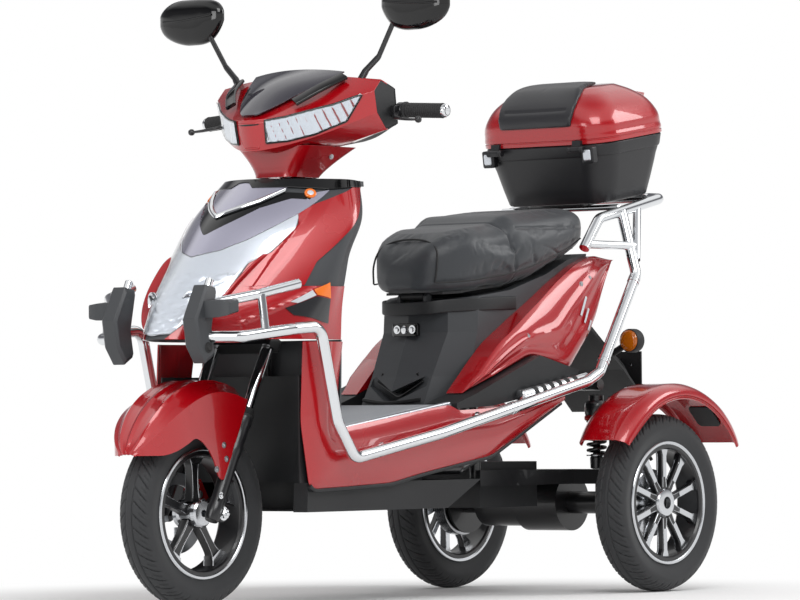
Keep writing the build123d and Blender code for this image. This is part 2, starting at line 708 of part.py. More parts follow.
# Knee panel: closes the leg shield towards the rider
knee_wall = 5.0
hump_rear_x = 700.0
hump_low_z = 640.0
hump_top_z = 905.0
knee_foot_x = 1009.0
knee_head_x = 1004.0
knee_join_z = shield_low_z - seat_gap
knee_plate_line = [(knee_foot_x, floor_top(knee_foot_x) + seat_gap), (knee_head_x, knee_join_z),
                   (knee_head_x + knee_wall, knee_join_z),
                   (knee_foot_x + knee_wall, floor_top(knee_foot_x) + seat_gap)]
knee_plate = side_plate(knee_plate_line, -body_half + seat_gap, body_half - seat_gap)
knee_close = (shield_outer - moved(shield_outer, knee_wall, 0, 0)) & knee_cut
cap_thick = 12.0
top_plane_z = shield_top_z - cap_thick
shield_cap = shield_inner & block(shield_rear_x - overrun, shield_nose_x, -shield_half, shield_half,
                                  top_plane_z, shield_top_z)
cap_hole = straight_tube(steer_point(top_plane_z - 2 * overrun),
                         steer_point(shield_top_z + 2 * overrun), 2.4 * column_radius)
hump_wall = 4.0
hump_room = straight_tube(steer_point(hump_low_z - overrun), steer_point(hump_top_z + 4 * overrun),
                          head_tube_radius + panel_gap)
hump = straight_tube(steer_point(hump_low_z), steer_point(hump_top_z + 2 * overrun),
                     head_tube_radius + panel_gap + hump_wall)
hump = (hump - shield_outer) & block(hump_rear_x, floor_front_x, -shield_half, shield_half,
                                     hump_low_z, shield_top_z)
knee_panel = knee_shell + knee_close + (shield_cap & knee_cut) + hump
knee_panel = knee_panel - cap_hole - hump_room - frame
knee_panel = knee_panel.solids().sort_by(SortBy.VOLUME)[-1]
save("knee_panel", knee_panel, knee_plate - frame)
cowl_cap = shield_cap - knee_cut - cap_hole
save("shield_cap", cowl_cap)
save("floorboard", floorboard - frame)

# Seat base: the moulding under the saddle, with a storage well that the saddle covers
base_half_share = 0.65
base_half = base_half_share * body_half
base_low = (26.0, 424.0)
base_high = (616.0, 786.0)
base_side_shares = [(0.842, 0.62), (0.826, 0.675), (0.75, 0.70), (0.495, 0.754), (0.266, 0.859),
                    (0.125, 0.956), (0.0, 1.0), (0.058, 0.597), (0.288, 0.149), (0.915, 0.0),
                    (1.1, 0.0), (1.1, 0.62)]
base_front_shares = [
    # of the height, the length to the front, to the corner and to the side, and the corner's half width
    (-0.05, 1.007, 0.980, 0.803, 0.708),
    (0.21, 0.929, 0.892, 0.753, 0.677),
    (0.486, 0.854, 0.807, 0.702, 0.723),
    (0.80, 0.837, 0.797, 0.685, 0.708),
]
well_x = (230.0, 445.0)
well_wall = 26.0
well_half = base_half - well_wall
well_floor_z = 500.0
base_faces = []
for height_share, front, corner, side, corner_half in base_front_shares:
    height = base_low[1] + (base_high[1] - base_low[1]) * height_share
    shares = [(front, 0), (corner, corner_half), (side, 1), (0, 1)]
    plan = both_sides(in_box(shares, (base_low[0], 0), (base_high[0], base_half)))
    base_faces.append(make_face(Polyline(*[(x, y, height) for x, y in plan], close=True)))
seat_base = loft(base_faces, ruled=True)
upper_base = side_plate(in_box(base_side_shares, base_low, base_high), -base_half, base_half)
rear_base = upper_base & block(base_low[0], well_x[1] - overrun, -base_half, base_half,
                               base_low[1], base_high[1])
seat_base = (seat_base & upper_base) + rear_base
well = block(well_x[0], well_x[1], -well_half, well_half, well_floor_z, base_high[1] + overrun)
seat_base = seat_base - well
vent_half = 82.0
vent_low_z = 436.0
vent_high_z = 505.0
vent_x = (556.0, 640.0)
vent_shares = [(0.0, 1.0), (0.5, 0.435), (1.0, 1.0), (1.0, 0.61), (0.5, 0.0), (0.0, 0.61)]
vent_line = in_box(vent_shares, (-vent_half, vent_low_z), (vent_half, vent_high_z))
seat_base = seat_base - front_plate(vent_line, vent_x[0], vent_x[1])
hinge_x = 505.0
hinge_z = 682.0
hinge_pin_radius = 4.0
hinge_ear_thick = 8.0
hinge_ear_y = 34.0
hinge_ear_radius = 10.0
hinge_ear_drop = 42.0
ear_gap = 2.0
hinge_ear_line = [(hinge_x - hinge_ear_radius, hinge_z - hinge_ear_drop),
                  (hinge_x + hinge_ear_radius, hinge_z - hinge_ear_drop),
                  (hinge_x + hinge_ear_radius, hinge_z), (hinge_x, hinge_z + hinge_ear_radius),
                  (hinge_x - hinge_ear_radius, hinge_z)]
ear = side_plate(hinge_ear_line, hinge_ear_y, hinge_ear_y + hinge_ear_thick)
seat_base = seat_base + ear + mirrored(ear)
seat_base = seat_base + cross_tube(hinge_x, hinge_z, -hinge_ear_y, hinge_ear_y, hinge_pin_radius)
seat_base = seat_base - frame
save("seat_base", seat_base.solids().sort_by(SortBy.VOLUME)[-1])

# Red tail panels on both sides of the seat base
tail_low = (-40.0, 455.0)
tail_high = (556.0, 782.0)
tail_side_shares = [(1.0, 0.02), (0.86, 0.25), (0.78, 0.37), (0.60, 0.56), (0.49, 0.67), (0.37, 0.80),
                    (0.23, 0.93), (0.11, 1.0), (0.0, 0.97), (0.15, 0.57), (0.354, 0.18),
                    (0.60, 0.28)]
tail_inset = 4.0
tail_out = body_half - tail_inset
tail_front_shares = [(0.0, 1.03), (0.39, 1.03), (1.0, 0.44), (1.0, 0.14), (0.70, 0.0), (0.0, 0.0)]
tail_panel = side_plate(in_box(tail_side_shares, tail_low, tail_high), base_half, tail_out)
tail_panel = tail_panel & front_plate(in_box(tail_front_shares, (base_half, tail_low[1]),
                                             (tail_out, tail_high[1])),
                                      tail_low[0] - overrun, tail_high[0] + overrun)
save("tail_panels", *pair(tail_panel))

# Dark foot panels under the tail panels, and the chrome passenger footrests
foot_low = (171.0, 426.0)
foot_high = (floor_rear_x - seat_gap, 546.0)
foot_shares = [(1.0, 0.0), (1.0, 0.10), (0.845, 0.281), (0.568, 0.664), (0.322, 1.0), (0.0, 0.725),
               (0.055, 0.433), (0.713, 0.05)]
foot_proud = 16.0
foot_out = body_half + foot_proud
foot_panel = side_plate(in_box(foot_shares, foot_low, foot_high), base_half, foot_out)
foot_panel = foot_panel - tail_panel
footrest_front = (415.0, 452.0)
footrest_rear = (165.0, 493.0)
footrest_radius = 15.0
footrest_y = foot_out + footrest_radius + seat_gap
footrest = straight_tube((footrest_front[0], footrest_y, footrest_front[1]),
                         (footrest_rear[0], footrest_y, footrest_rear[1]), footrest_radius)
save("foot_panels", *[piece - frame for piece in pair(foot_panel.solids().sort_by(SortBy.VOLUME)[-1])])

# Guard bars: from the beak, down beside the leg shield, along the floor and up to the rack
guard_radius = 13.0
guard_y = body_half + guard_out
guard_bend = 22.0
guard_low = (-50.0, 0, 320.0)
guard_high = (1362.0, guard_y, 884.0)
guard_shares = [
    # shares of the box between its two corners: forward, sideways, up
    (1.000, 0.500, 0.465), (0.983, 0.775, 0.465), (0.914, 1.000, 0.493), (0.847, 1.000, 0.504),
    (0.809, 1.000, 0.142), (0.768, 1.000, 0.000), (0.554, 1.000, 0.092), (0.177, 1.000, 0.294),
    (0.142, 1.000, 0.333), (0.014, 0.900, 0.738), (0.004, 0.702, 1.000),
]
guard_lug_radius = 6.0
guard_lug_shares = [(0.673, 0.041), (0.432, 0.156)]
guard_points = in_space(guard_shares, guard_low, guard_high)
guard_path = bent_tube(guard_points, guard_radius, guard_bend)
for lug_x, lug_z in in_box(guard_lug_shares, guard_low[::2], guard_high[::2]):
    guard_path = guard_path + cross_tube(lug_x, lug_z, sill_half + seat_gap, guard_y,
                                         guard_lug_radius)
save("guard_bar_left", guard_path)
save("guard_bar_right", mirrored(guard_path))
save("footrests", *[piece - guard_path - mirrored(guard_path) for piece in pair(footrest)])
save("frame", frame)

# Nose bars and bumper horns
nose_bar_radius = 11.0
nose_bar_low = (1196.0, 0, 590.0)
nose_bar_high = (1362.0, guard_y, 696.0)
nose_bar_shares = [(0.0, 0.930, 1.0), (0.627, 0.829, 0.774), (1.0, 0.581, 0.613)]
riser_shares = [(0.578, 0.888, 0.0), (0.578, 0.845, 0.774)]
nose_bar = bent_tube(in_space(nose_bar_shares, nose_bar_low, nose_bar_high), nose_bar_radius,
                     3 * nose_bar_radius)
riser = straight_tube(*in_space(riser_shares, nose_bar_low, nose_bar_high), nose_bar_radius)
horn_low = (1340.0, 526.0)
horn_high = (1410.0, 694.0)
horn_shares = [(0.03, 0.964), (0.486, 1.0), (1.0, 0.571), (0.857, 0.202), (0.514, 0.0),
               (0.143, 0.095), (0.286, 0.44)]
horn_arm_shares = [(0.0, 0.827), (0.643, 0.798), (0.643, 0.571), (0.0, 0.631)]
horn_y = (94.0, 138.0)
horn_arm_share = 0.79
horn_arm_y = horn_arm_share * guard_y
horn = side_plate(in_box(horn_shares, horn_low, horn_high), *horn_y)
horn = horn + side_plate(in_box(horn_arm_shares, horn_low, horn_high), horn_y[1], horn_arm_y)
guards = [guard_path, mirrored(guard_path)]
nose_bars = [piece - guards[0] - guards[1] for piece in pair(nose_bar + riser)]
save("nose_bars", *nose_bars)
horns = []
for piece in pair(horn):
    for bar_piece in guards + nose_bars:
        piece = piece - bar_piece
    horns.append(piece.solids().sort_by(SortBy.VOLUME)[-1])
save("bumper_horns", *horns)

# Rear rack under the top case
rack_radius = 12.5
rack_bend = 30.0
rack_low = (-248.0, 0, 795.0)
rack_high = (107.0, guard_y, 924.0)
rack_shares = [(1.0, 0.717, 0.0), (0.825, 0.705, 0.55), (0.107, 0.667, 0.969), (0.0, 0.446, 1.0)]
brace_shares = [(0.586, 0.876, -0.194), (0.388, 0.690, 0.76)]
stub_shares = [(0.98, 0.717, 0.08), (0.576, 0.837, 0.06)]
brace_radius = 10.0
rack_points = in_space(rack_shares, rack_low, rack_high)
rack_path = rack_points + [(x, -y, z) for x, y, z in reversed(rack_points)]
rack = bent_tube(rack_path, rack_radius, rack_bend)
for shares in (brace_shares, stub_shares):
    brace = straight_tube(*in_space(shares, rack_low, rack_high), brace_radius)
    rack = rack + brace + mirrored(brace)
case_tilt = 8.8
tilt_sin = math.sin(math.radians(case_tilt))
tilt_cos = math.cos(math.radians(case_tilt))
case_floor = (-116.0, 919.0)
case_rim = (-102.0, 1060.0)
plate_thick = 5.0
plate_length = 180.0
plate_width = 180.0
plate_corner = 20.0
cross_radius = 7.5
cross_half_share = 0.667
cross_half = cross_half_share * guard_y
cross_shares = (-0.4, 0.4)


def case_plane(place, lift=0.0, ahead=0.0):
    """A plane that leans with the top case, above a named place on its middle plane."""
    x = place[0] + lift * tilt_sin + ahead * tilt_cos
    z = place[1] + lift * tilt_cos - ahead * tilt_sin
    return Plane(origin=(x, 0, z), x_dir=(tilt_cos, 0, -tilt_sin), z_dir=(tilt_sin, 0, tilt_cos))


rack_plate = case_plane(case_floor, -plate_thick - seat_gap) * extrude(
    RectangleRounded(plate_length, plate_width, plate_corner), plate_thick)
for cross_share in cross_shares:
    along = case_plane(case_floor, -plate_thick - cross_radius, plate_length * cross_share).origin
    rack = rack + cross_tube(along.X, along.Z, -cross_half, cross_half, cross_radius)
rack = rack + rack_plate
for guard in guards:
    rack = rack - guard
rack = rack.solids().sort_by(SortBy.VOLUME)[-1]
save("rear_rack", rack)

# Top case: a hollow base and a hollow lid hinged at its front edge
case_wall = 4.0
case_floor_size = (212.0, 306.0, 58.0)
case_rim_size = (284.0, 380.0, 74.0)
lid_height = 126.0
lid_shares = [
    # of the lid's height, and of the rim's length, width and corner
    (0.0, 1.014, 1.016, 1.027), (0.333, 0.993, 0.995, 1.027), (0.73, 0.838, 0.847, 0.973),
    (1.0, 0.549, 0.621, 0.838),
]
lid_gap = 2.0
lid_lean_share = 0.04
lid_rows = [(lid_height * lift, lid_height * lift * lid_lean_share,
             [size * share for size, share in zip(case_rim_size, sizes)])
            for lift, *sizes in lid_shares]


def case_ring(place, size, inset, lift=0.0, ahead=0.0):
    """A rounded outline of the case in its own leaning plane, drawn in by a wall."""
    length, width, corner = size
    return case_plane(place, lift, ahead) * RectangleRounded(length - 2 * inset, width - 2 * inset,
                                                             corner - inset)


case_outer = loft([case_ring(case_floor, case_floor_size, 0),
                   case_ring(case_rim, case_rim_size, 0)], ruled=True)
case_inner = loft([case_ring(case_floor, case_floor_size, case_wall, case_wall),
                   case_ring(case_rim, case_rim_size, case_wall, seat_gap)], ruled=True)
case_base = case_outer - case_inner
hinge_ahead = 10.2
hinge_drop = 9.4
lid_hinge = (case_rim[0] + case_rim_size[0] / 2 * tilt_cos + hinge_ahead,
             case_rim[1] - case_rim_size[0] / 2 * tilt_sin - hinge_drop)
lid_pin_radius = 3.0
knuckle_radius = 8.0
knuckle_y = 120.0
knuckle_half = 12.0
knuckle_ear = 6.0
knuckle_gap = 1.0
ear_in = knuckle_half + knuckle_gap
case_ears = []
for side in (-1, 1):
    ear_from, ear_to = sorted((knuckle_y + side * ear_in, knuckle_y + side * (ear_in + knuckle_ear)))
    ear = cross_tube(lid_hinge[0], lid_hinge[1], ear_from, ear_to, knuckle_radius)
    ear = ear + block(lid_hinge[0] - 2 * knuckle_radius, lid_hinge[0], ear_from, ear_to,
                      lid_hinge[1] - knuckle_radius, lid_hinge[1] + knuckle_radius / 2)
    case_ears.append(ear)
lid_pin = cross_tube(lid_hinge[0], lid_hinge[1], knuckle_y - knuckle_half - knuckle_ear,
                     knuckle_y + knuckle_half + knuckle_ear, lid_pin_radius)
for piece in case_ears + [lid_pin]:
    case_base = case_base + (piece - case_inner) + (mirrored(piece) - case_inner)
save("case_base", case_base)

lid_outer = loft([case_ring(case_rim, size, 0, lift + lid_gap, ahead)
                  for lift, ahead, size in lid_rows], ruled=True)
lid_inner = loft([case_ring(case_rim, size, case_wall,
                            lift + lid_gap - (case_wall if lift else knuckle_gap), ahead)
                  for lift, ahead, size in lid_rows], ruled=True)
lid = lid_outer - lid_inner
lid_knuckle = cross_tube(lid_hinge[0], lid_hinge[1], knuckle_y - knuckle_half,
                         knuckle_y + knuckle_half, knuckle_radius)
leaf_foot_share = 1.45
leaf_top_share = 2.6
leaf_top_z = lid_hinge[1] + leaf_top_share * knuckle_radius
lid_leaf = block(lid_hinge[0] - knuckle_radius, lid_hinge[0] + knuckle_radius / 3,
                 knuckle_y - knuckle_half, knuckle_y + knuckle_half, lid_hinge[1], leaf_top_z)
lid_leaf = lid_leaf + block(lid_hinge[0] - 2 * knuckle_radius, lid_hinge[0],
                            knuckle_y - knuckle_half, knuckle_y + knuckle_half,
                            lid_hinge[1] + leaf_foot_share * knuckle_radius, leaf_top_z)
lid_fixing = (lid_knuckle + lid_leaf) - lid_inner - case_outer
lid_fixing = lid_fixing - cross_tube(lid_hinge[0], lid_hinge[1], 0, case_rim_size[1],
                                     lid_pin_radius + running)
lid = lid + lid_fixing + mirrored(lid_fixing)
spoiler_low = (tail_x, 1138.0)
spoiler_high = (-170.0, 1186.0)
spoiler_shares = [(0.0, 0.90), (0.03, 0.62), (0.44, 0.0), (0.86, 0.21), (1.0, 0.79), (0.60, 1.0)]
spoiler_half = 84.0
spoiler = side_plate(in_box(spoiler_shares, spoiler_low, spoiler_high), -spoiler_half,
                     spoiler_half) - lid_outer
spoiler = spoiler.solids().sort_by(SortBy.VOLUME)[-1]
lid = lid + spoiler
save("case_lid", lid.solids().sort_by(SortBy.VOLUME)[-1])

pad_half = 112.0
pad_proud = 16.0
pad_low = (-110.0, 1076.0)
pad_high = (80.0, 1226.0)
pad_shares = [(1.0, 0.0), (0.62, 1.0), (0.0, 1.0), (0.0, 0.5), (0.55, 0.0)]
pad = moved(lid_outer, pad_proud, 0, pad_proud / 2) - moved(lid_outer, seat_gap, 0, seat_gap)
pad = pad - lid_outer
pad = pad & side_plate(in_box(pad_shares, pad_low, pad_high), -pad_half, pad_half)
save("backrest_pad", pad.solids().sort_by(SortBy.VOLUME)[-1])

# Saddle: a two-step cushion on a moulded pan that hinges at its front
cushion_low = (36.0, 692.0)
cushion_high = (566.0, 892.0)
cushion_half = 168.0
cushion_corner = 34.0
cushion_rows = [
    # x share, low and top share of the height, half width share, corner share
    (1.000, 0.000, 0.300, 0.31, 0.70),
    (0.951, 0.000, 0.540, 0.54, 0.90),
    (0.875, 0.010, 0.630, 0.70, 1.00),
    (0.762, 0.030, 0.700, 0.82, 1.00),
    (0.660, 0.070, 0.730, 0.89, 1.00),
    (0.532, 0.110, 0.860, 0.95, 1.00),
    (0.277, 0.300, 0.940, 1.00, 1.00),
    (0.121, 0.470, 1.000, 0.98, 0.88),
    (0.000, 0.580, 0.970, 0.89, 0.76),
]
cushion_faces = []
for x_share, low_share, top_share, half_share, corner_share in cushion_rows:
    x, low = in_box([(x_share, low_share)], cushion_low, cushion_high)[0]
    top = in_box([(x_share, top_share)], cushion_low, cushion_high)[0][1]
    flat = Plane(origin=(x, 0, (low + top) / 2), x_dir=(0, 1, 0), z_dir=(1, 0, 0))
    cushion_faces.append(flat * RectangleRounded(2 * cushion_half * half_share, top - low,
                                                 cushion_corner * corner_share))
cushion = loft(cushion_faces, ruled=True)
pan_low = (44.0, 686.0)
pan_high = (505.0, 799.0)
pan_thick = 5.6
pan_top_shares = [(1.0, 0.0), (0.93, 0.018), (0.742, 0.115), (0.594, 0.177), (0.302, 0.531),
                  (0.121, 0.832), (0.0, 1.0)]
pan_under = in_box(pan_top_shares, pan_low, pan_high)
pan_line = pan_under + [(x, z + pan_thick) for x, z in reversed(pan_under)]
bumper_radius = 10.0
bumper_y = 90.0
bumper_x = 183.0
bumper_low_z = 740.0
pan_half = 104.0
pan_front_half = 82.0
pan_plan = both_sides([(pan_high[0], pan_front_half), (pan_high[0] - 2 * overrun, pan_half),
                       (pan_low[0], pan_half)])
pan = side_plate(pan_line, -pan_half, pan_half)
pan = pan & plan_plate(pan_plan, pan_low[1] - overrun, pan_high[1] + overrun)
saddle_knuckle_half = hinge_ear_y - ear_gap
saddle_knuckle = cross_tube(hinge_x, hinge_z, -saddle_knuckle_half, saddle_knuckle_half,
                            hinge_ear_radius - seat_gap)
saddle_bore = cross_tube(hinge_x, hinge_z, -pan_half, pan_half, hinge_pin_radius + running)
pan = pan + saddle_knuckle
bumper = straight_tube((bumper_x, bumper_y, bumper_low_z),
                       (bumper_x, bumper_y, bumper_low_z + 2 * bumper_radius), bumper_radius)
pan = pan + bumper + mirrored(bumper)
ear_sweep = 24.0
ear_room = block(hinge_x - ear_sweep, hinge_x + ear_sweep, hinge_ear_y - ear_gap,
                 hinge_ear_y + hinge_ear_thick + ear_gap, hinge_z - ear_sweep, hinge_z + ear_sweep)
pan = pan - ear_room - mirrored(ear_room) - saddle_bore
hinge_room_half = 48.0
hinge_room_top_z = 703.0
cushion = cushion - block(hinge_x - ear_sweep, hinge_x + 2 * ear_sweep, -hinge_room_half,
                          hinge_room_half, cushion_low[1] - overrun, hinge_room_top_z)
pan = pan - cushion
save("saddle_cushion", cushion)
save("saddle_pan", pan.solids().sort_by(SortBy.VOLUME)[-1])

# Rear axle with the motor and differential housing, carried by a swing arm and a cross beam
beam_x = (40.0, 90.0)
beam_z = (250.0, 284.0)
axle_tube_radius = 26.0
housing_radius = 66.0
housing_half = 62.0
motor_radius = 56.0
motor_y = (-188.0, -62.0)
plate_gap = 5.5
plate_out = wheel_y - bead_half - drum_width / 2 - plate_gap
plate_width_y = 6.0
brake_plate_radius = 74.0
rear_axle = cross_tube(0, tyre_radius, -plate_out, plate_out, axle_tube_radius)
rear_axle = rear_axle + cross_tube(0, tyre_radius, -housing_half, housing_half, housing_radius)
rear_axle = rear_axle + cross_tube(0, tyre_radius, motor_y[0], motor_y[1], motor_radius)
rear_axle = rear_axle + cross_tube(0, tyre_radius, -wheel_y - rear_hub_out / 2 + running,
                                   wheel_y + rear_hub_out / 2 - running, spindle_radius)
brake_plate = cross_tube(0, tyre_radius, plate_out - plate_width_y, plate_out, brake_plate_radius)
rear_axle = rear_axle + brake_plate + mirrored(brake_plate)
rear_fender_back = 12.0
rear_fender_rise = 5.0
rear_fender_room = 63.0
fender_centre = (-rear_fender_back, tyre_radius + rear_fender_rise)
rear_fender_radius = tyre_radius + rear_fender_room
rear_fender_half = 72.0
stay_y = wheel_y - rear_fender_half - seat_gap
stay_thick = 7.0
stay_rise = 247.0
stay_spans = [(54.0, 76.0), (-74.0, -52.0)]
beam = block(beam_x[0], beam_x[1], -stay_y + stay_thick / 2, stay_y - stay_thick / 2, beam_z[0],
             beam_z[1])
axle_seat_half = 20.0
axle_seat_inset = 20.0
seat_block = block(-axle_seat_half, beam_x[0], body_half - axle_seat_inset - axle_seat_half,
                   body_half - axle_seat_inset + axle_seat_half, tyre_radius, beam_z[1])
beam = beam + seat_block + mirrored(seat_block)
arm_half_height = 18.0
arm_front_x = pivot_x + arm_half_height - skin / 2
arm_y = (rear_rail_y + rail_radius + panel_gap / 4, pivot_half - skin)
arm_line = [(arm_front_x, pivot_z + arm_half_height), (arm_front_x, pivot_z - arm_half_height),
            (beam_x[0], beam_z[0]), (beam_x[0], beam_z[1])]
swing = side_plate(arm_line, *arm_y)
beam = beam + swing + mirrored(swing)
for stay_from, stay_to in stay_spans:
    stay_low = beam_z[0] if stay_from > 0 else tyre_radius
    stay = block(stay_from, stay_to, stay_y - stay_thick, stay_y, stay_low, tyre_radius + stay_rise)
    if stay_from < 0:
        stay = stay + block(stay_from, beam_x[0], stay_y - stay_thick, stay_y, tyre_radius, beam_z[0])
    beam = beam + stay + mirrored(stay)
save("rear_axle", rear_axle)
save("swing_arm", (beam - rear_axle - frame).solids().sort_by(SortBy.VOLUME)[-1])

controller_x = (182.0, 396.0)
controller_half = 98.0
controller_z = (200.0, 304.0)
controller = block(controller_x[0], controller_x[1], -controller_half, controller_half,
                   controller_z[0], controller_z[1])
controller = controller + block(box_hang_x - post_radius, box_hang_x + post_radius,
                                -overrun, overrun, controller_z[1], box_hang_z)
save("controller_box", controller - frame)

shock_low_z = beam_z[1] + seat_gap
shock_rows = [
    # radius, low share and high share of the shock's length
    (10.0, 0.0, 1.0), (16.0, 0.0, 0.16), (24.0, 0.20, 0.52), (29.0, 0.60, 0.86), (18.0, 0.86, 0.94),
]
shock_top_z = rail_end_z - rail_radius / 2 - rail_radius - seat_gap
shock = None
for radius, low, high in shock_rows:
    length = shock_top_z - shock_low_z
    stage = straight_tube((shock_cross_x, shock_y, shock_low_z + length * low),
                          (shock_cross_x, shock_y, shock_low_z + length * high), radius)
    shock = stage if shock is None else shock + stage
save("shock_absorbers", *[piece - beam for piece in pair(shock)])

# Rear fenders, tail lamps, indicators and the rear mudguard
rear_fender_low = (-310.0, tyre_radius + 126.0)
rear_fender_high = (290.0, tyre_radius + 315.0)
rear_fender_shares = [(0.87, 0.08), (0.12, 0.0), (0.0, 0.37), (0.22, 1.0), (0.79, 1.0), (1.0, 0.37)]
rear_fender_crown_half = 46.0
rear_fender_shoulder = 18.0
rear_fender_skirt = 36.0
rear_channel = channel(rear_fender_half, rear_fender_crown_half, rear_fender_radius,
                       rear_fender_shoulder, rear_fender_radius - rear_fender_skirt, skin)
rear_fender = spun(rear_channel, fender_centre[0], wheel_y, fender_centre[1])
rear_fender = rear_fender & side_plate(in_box(rear_fender_shares, rear_fender_low, rear_fender_high),
                                       wheel_y - 2 * rear_fender_half,
                                       wheel_y + 2 * rear_fender_half)
save("rear_fenders", *pair(rear_fender))
lamp_room = cross_tube(fender_centre[0], fender_centre[1], wheel_y - 2 * rear_fender_half,
                       wheel_y + 2 * rear_fender_half, rear_fender_radius + seat_gap)
tail_lamp_x = (-232.0, -130.0)
tail_lamp_half = 34.0
tail_lamp_rise = (199.0, 240.0)
tail_lamp = block(tail_lamp_x[0], tail_lamp_x[1], wheel_y - tail_lamp_half, wheel_y + tail_lamp_half,
                  tyre_radius + tail_lamp_rise[0], tyre_radius + tail_lamp_rise[1]) - lamp_room
save("tail_lamps", *pair(tail_lamp))

flap_low = (-244.0, 417.0)
flap_high = (66.0, 669.0)
flap_shares = [(1.0, 0.968), (0.368, 0.393), (0.013, 0.0), (0.0, 0.016), (0.355, 0.413), (0.981, 1.0)]
flap_half = 118.0
flap = side_plate(in_box(flap_shares, flap_low, flap_high), -flap_half, flap_half)
holder_x = -236.0
holder_thick = 4.0
holder_half = 92.0
holder_z = (424.0, 560.0)
holder_hole_y = 62.5
holder_hole_z = 528.0
holder_hole_radius = 3.5
holder = block(holder_x - holder_thick, holder_x, -holder_half, holder_half, holder_z[0], holder_z[1])
for hand in (-1, 1):
    holder = holder - straight_tube((holder_x - overrun, hand * holder_hole_y, holder_hole_z),
                                    (holder_x + overrun, hand * holder_hole_y, holder_hole_z),
                                    holder_hole_radius)
gusset_y = 30.0
gusset_shares = [(0.023, 0.052), (0.023, 0.508), (0.335, 0.393)]
gusset = side_plate(in_box(gusset_shares, flap_low, flap_high), gusset_y, gusset_y + holder_thick)
indicator_x = -96.0
indicator_y = 170.0
indicator_z = 583.0
indicator_arm_radius = 8.0
indicator_arm_inset = 30.0
indicator_arm_drop = 42.0
indicator_arm = straight_tube((indicator_x, flap_half - indicator_arm_inset,
                               indicator_z - indicator_arm_drop),
                              (indicator_x, indicator_y, indicator_z), indicator_arm_radius)
mudguard = flap + holder + gusset + mirrored(gusset) + indicator_arm + mirrored(indicator_arm)
indicator_radius = 28.0
indicator_half = 20.0
indicator = straight_tube((indicator_x - indicator_half, indicator_y, indicator_z),
                          (indicator_x + indicator_half, indicator_y, indicator_z), indicator_radius)
for piece in pair(indicator):
    mudguard = mudguard - piece
mudguard = mudguard - seat_base
save("rear_mudguard", mudguard.solids().sort_by(SortBy.VOLUME)[-1])
save("indicators", *pair(indicator))
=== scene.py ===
"""Looks of an electric leisure tricycle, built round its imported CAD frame.

Shapes are worked out in millimetres, X forward from the rear axle, Y to the rider's left and Z up
from the ground. Shape.piece moves them to the part's own origin and turns them to metres.
"""
import logging
import math
from dataclasses import dataclass, field
from enum import Enum

import bmesh
import bpy
import numpy as np
from mathutils import Matrix, Vector


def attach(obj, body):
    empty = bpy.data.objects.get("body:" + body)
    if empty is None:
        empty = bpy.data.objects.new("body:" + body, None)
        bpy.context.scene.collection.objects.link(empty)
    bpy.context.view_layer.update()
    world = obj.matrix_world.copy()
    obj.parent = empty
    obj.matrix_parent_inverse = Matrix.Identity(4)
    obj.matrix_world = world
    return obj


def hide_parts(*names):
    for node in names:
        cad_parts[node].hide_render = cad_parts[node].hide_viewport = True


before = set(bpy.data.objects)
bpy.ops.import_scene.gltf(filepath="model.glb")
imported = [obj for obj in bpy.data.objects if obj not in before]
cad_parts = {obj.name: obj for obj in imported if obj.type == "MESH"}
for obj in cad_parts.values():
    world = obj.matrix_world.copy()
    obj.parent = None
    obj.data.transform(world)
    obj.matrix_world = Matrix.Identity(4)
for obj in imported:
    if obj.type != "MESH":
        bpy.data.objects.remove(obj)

Array = np.ndarray
log = logging.getLogger("tricycle")
# The rear axle's place in the part's frame, and the distance within which points are joined, in metres.
AXLE_X = -0.599
WELD_M = 2e-5
# The radius of all three tyres, the front axle's middle and half of the rear track, in millimetres.
WHEEL_MM = 205.0
FRONT_AXLE = (1274.0, 0.0, WHEEL_MM)
REAR_Y = 307.5
# The steering line's run back for each unit of height, and the case's lean.
STEERING_SLOPE = 0.5095
CASE_LEAN_DEG = 8.8
# The case lid's hinge line, x and z in millimetres.
LID_HINGE = (48.53, 1028.9)
CLOTH_FRAMES = 20


class Body(Enum):
    """The CAD bodies that pieces ride on."""

    ROOT = "root"
    STEERING = "steering"
    FRONT_WHEEL = "front_wheel"
    LEFT_WHEEL = "rear_left_wheel"
    RIGHT_WHEEL = "rear_right_wheel"
    SADDLE = "saddle"
    LID = "top_case_lid"


class Surface(Enum):
    """How a finish's surface was made, which sets the pattern that its nodes draw."""

    SPRAYED = "sprayed"
    MOULDED = "moulded"
    PLATED = "plated"
    MACHINED = "machined"
    CAST = "cast"
    VULCANISED = "vulcanised"
    LEATHER = "leather"
    CLEAR = "clear"
    PRINTED = "printed"


def linear(colour: str) -> tuple[float, float, float, float]:
    """Turns an sRGB colour, six hex digits after a hash sign, to linear light with full alpha."""
    parts = np.array([int(colour[i:i + 2], 16) / 255 for i in (1, 3, 5)])
    light = np.where(parts <= 0.04045, parts / 12.92, ((parts + 0.055) / 1.055) ** 2.4)
    return (float(light[0]), float(light[1]), float(light[2]), 1.0)


def add_node(tree: bpy.types.NodeTree, kind: str, settings: dict | None = None,
             links: dict | None = None) -> bpy.types.Node:
    """Adds one node with its settings and its incoming links.

    Args:
        tree: The node tree.
        kind: The node's type.
        settings: Values by input name or number, or by property name.
        links: Output sockets by input name or number.

    Returns:
        The new node.
    """
    made = tree.nodes.new(kind)
    for key, value in (settings or {}).items():
        if isinstance(key, int) or key in made.inputs:
            made.inputs[key].default_value = value
        else:
            setattr(made, key, value)
    for key, socket in (links or {}).items():
        tree.links.new(socket, made.inputs[key])
    return made


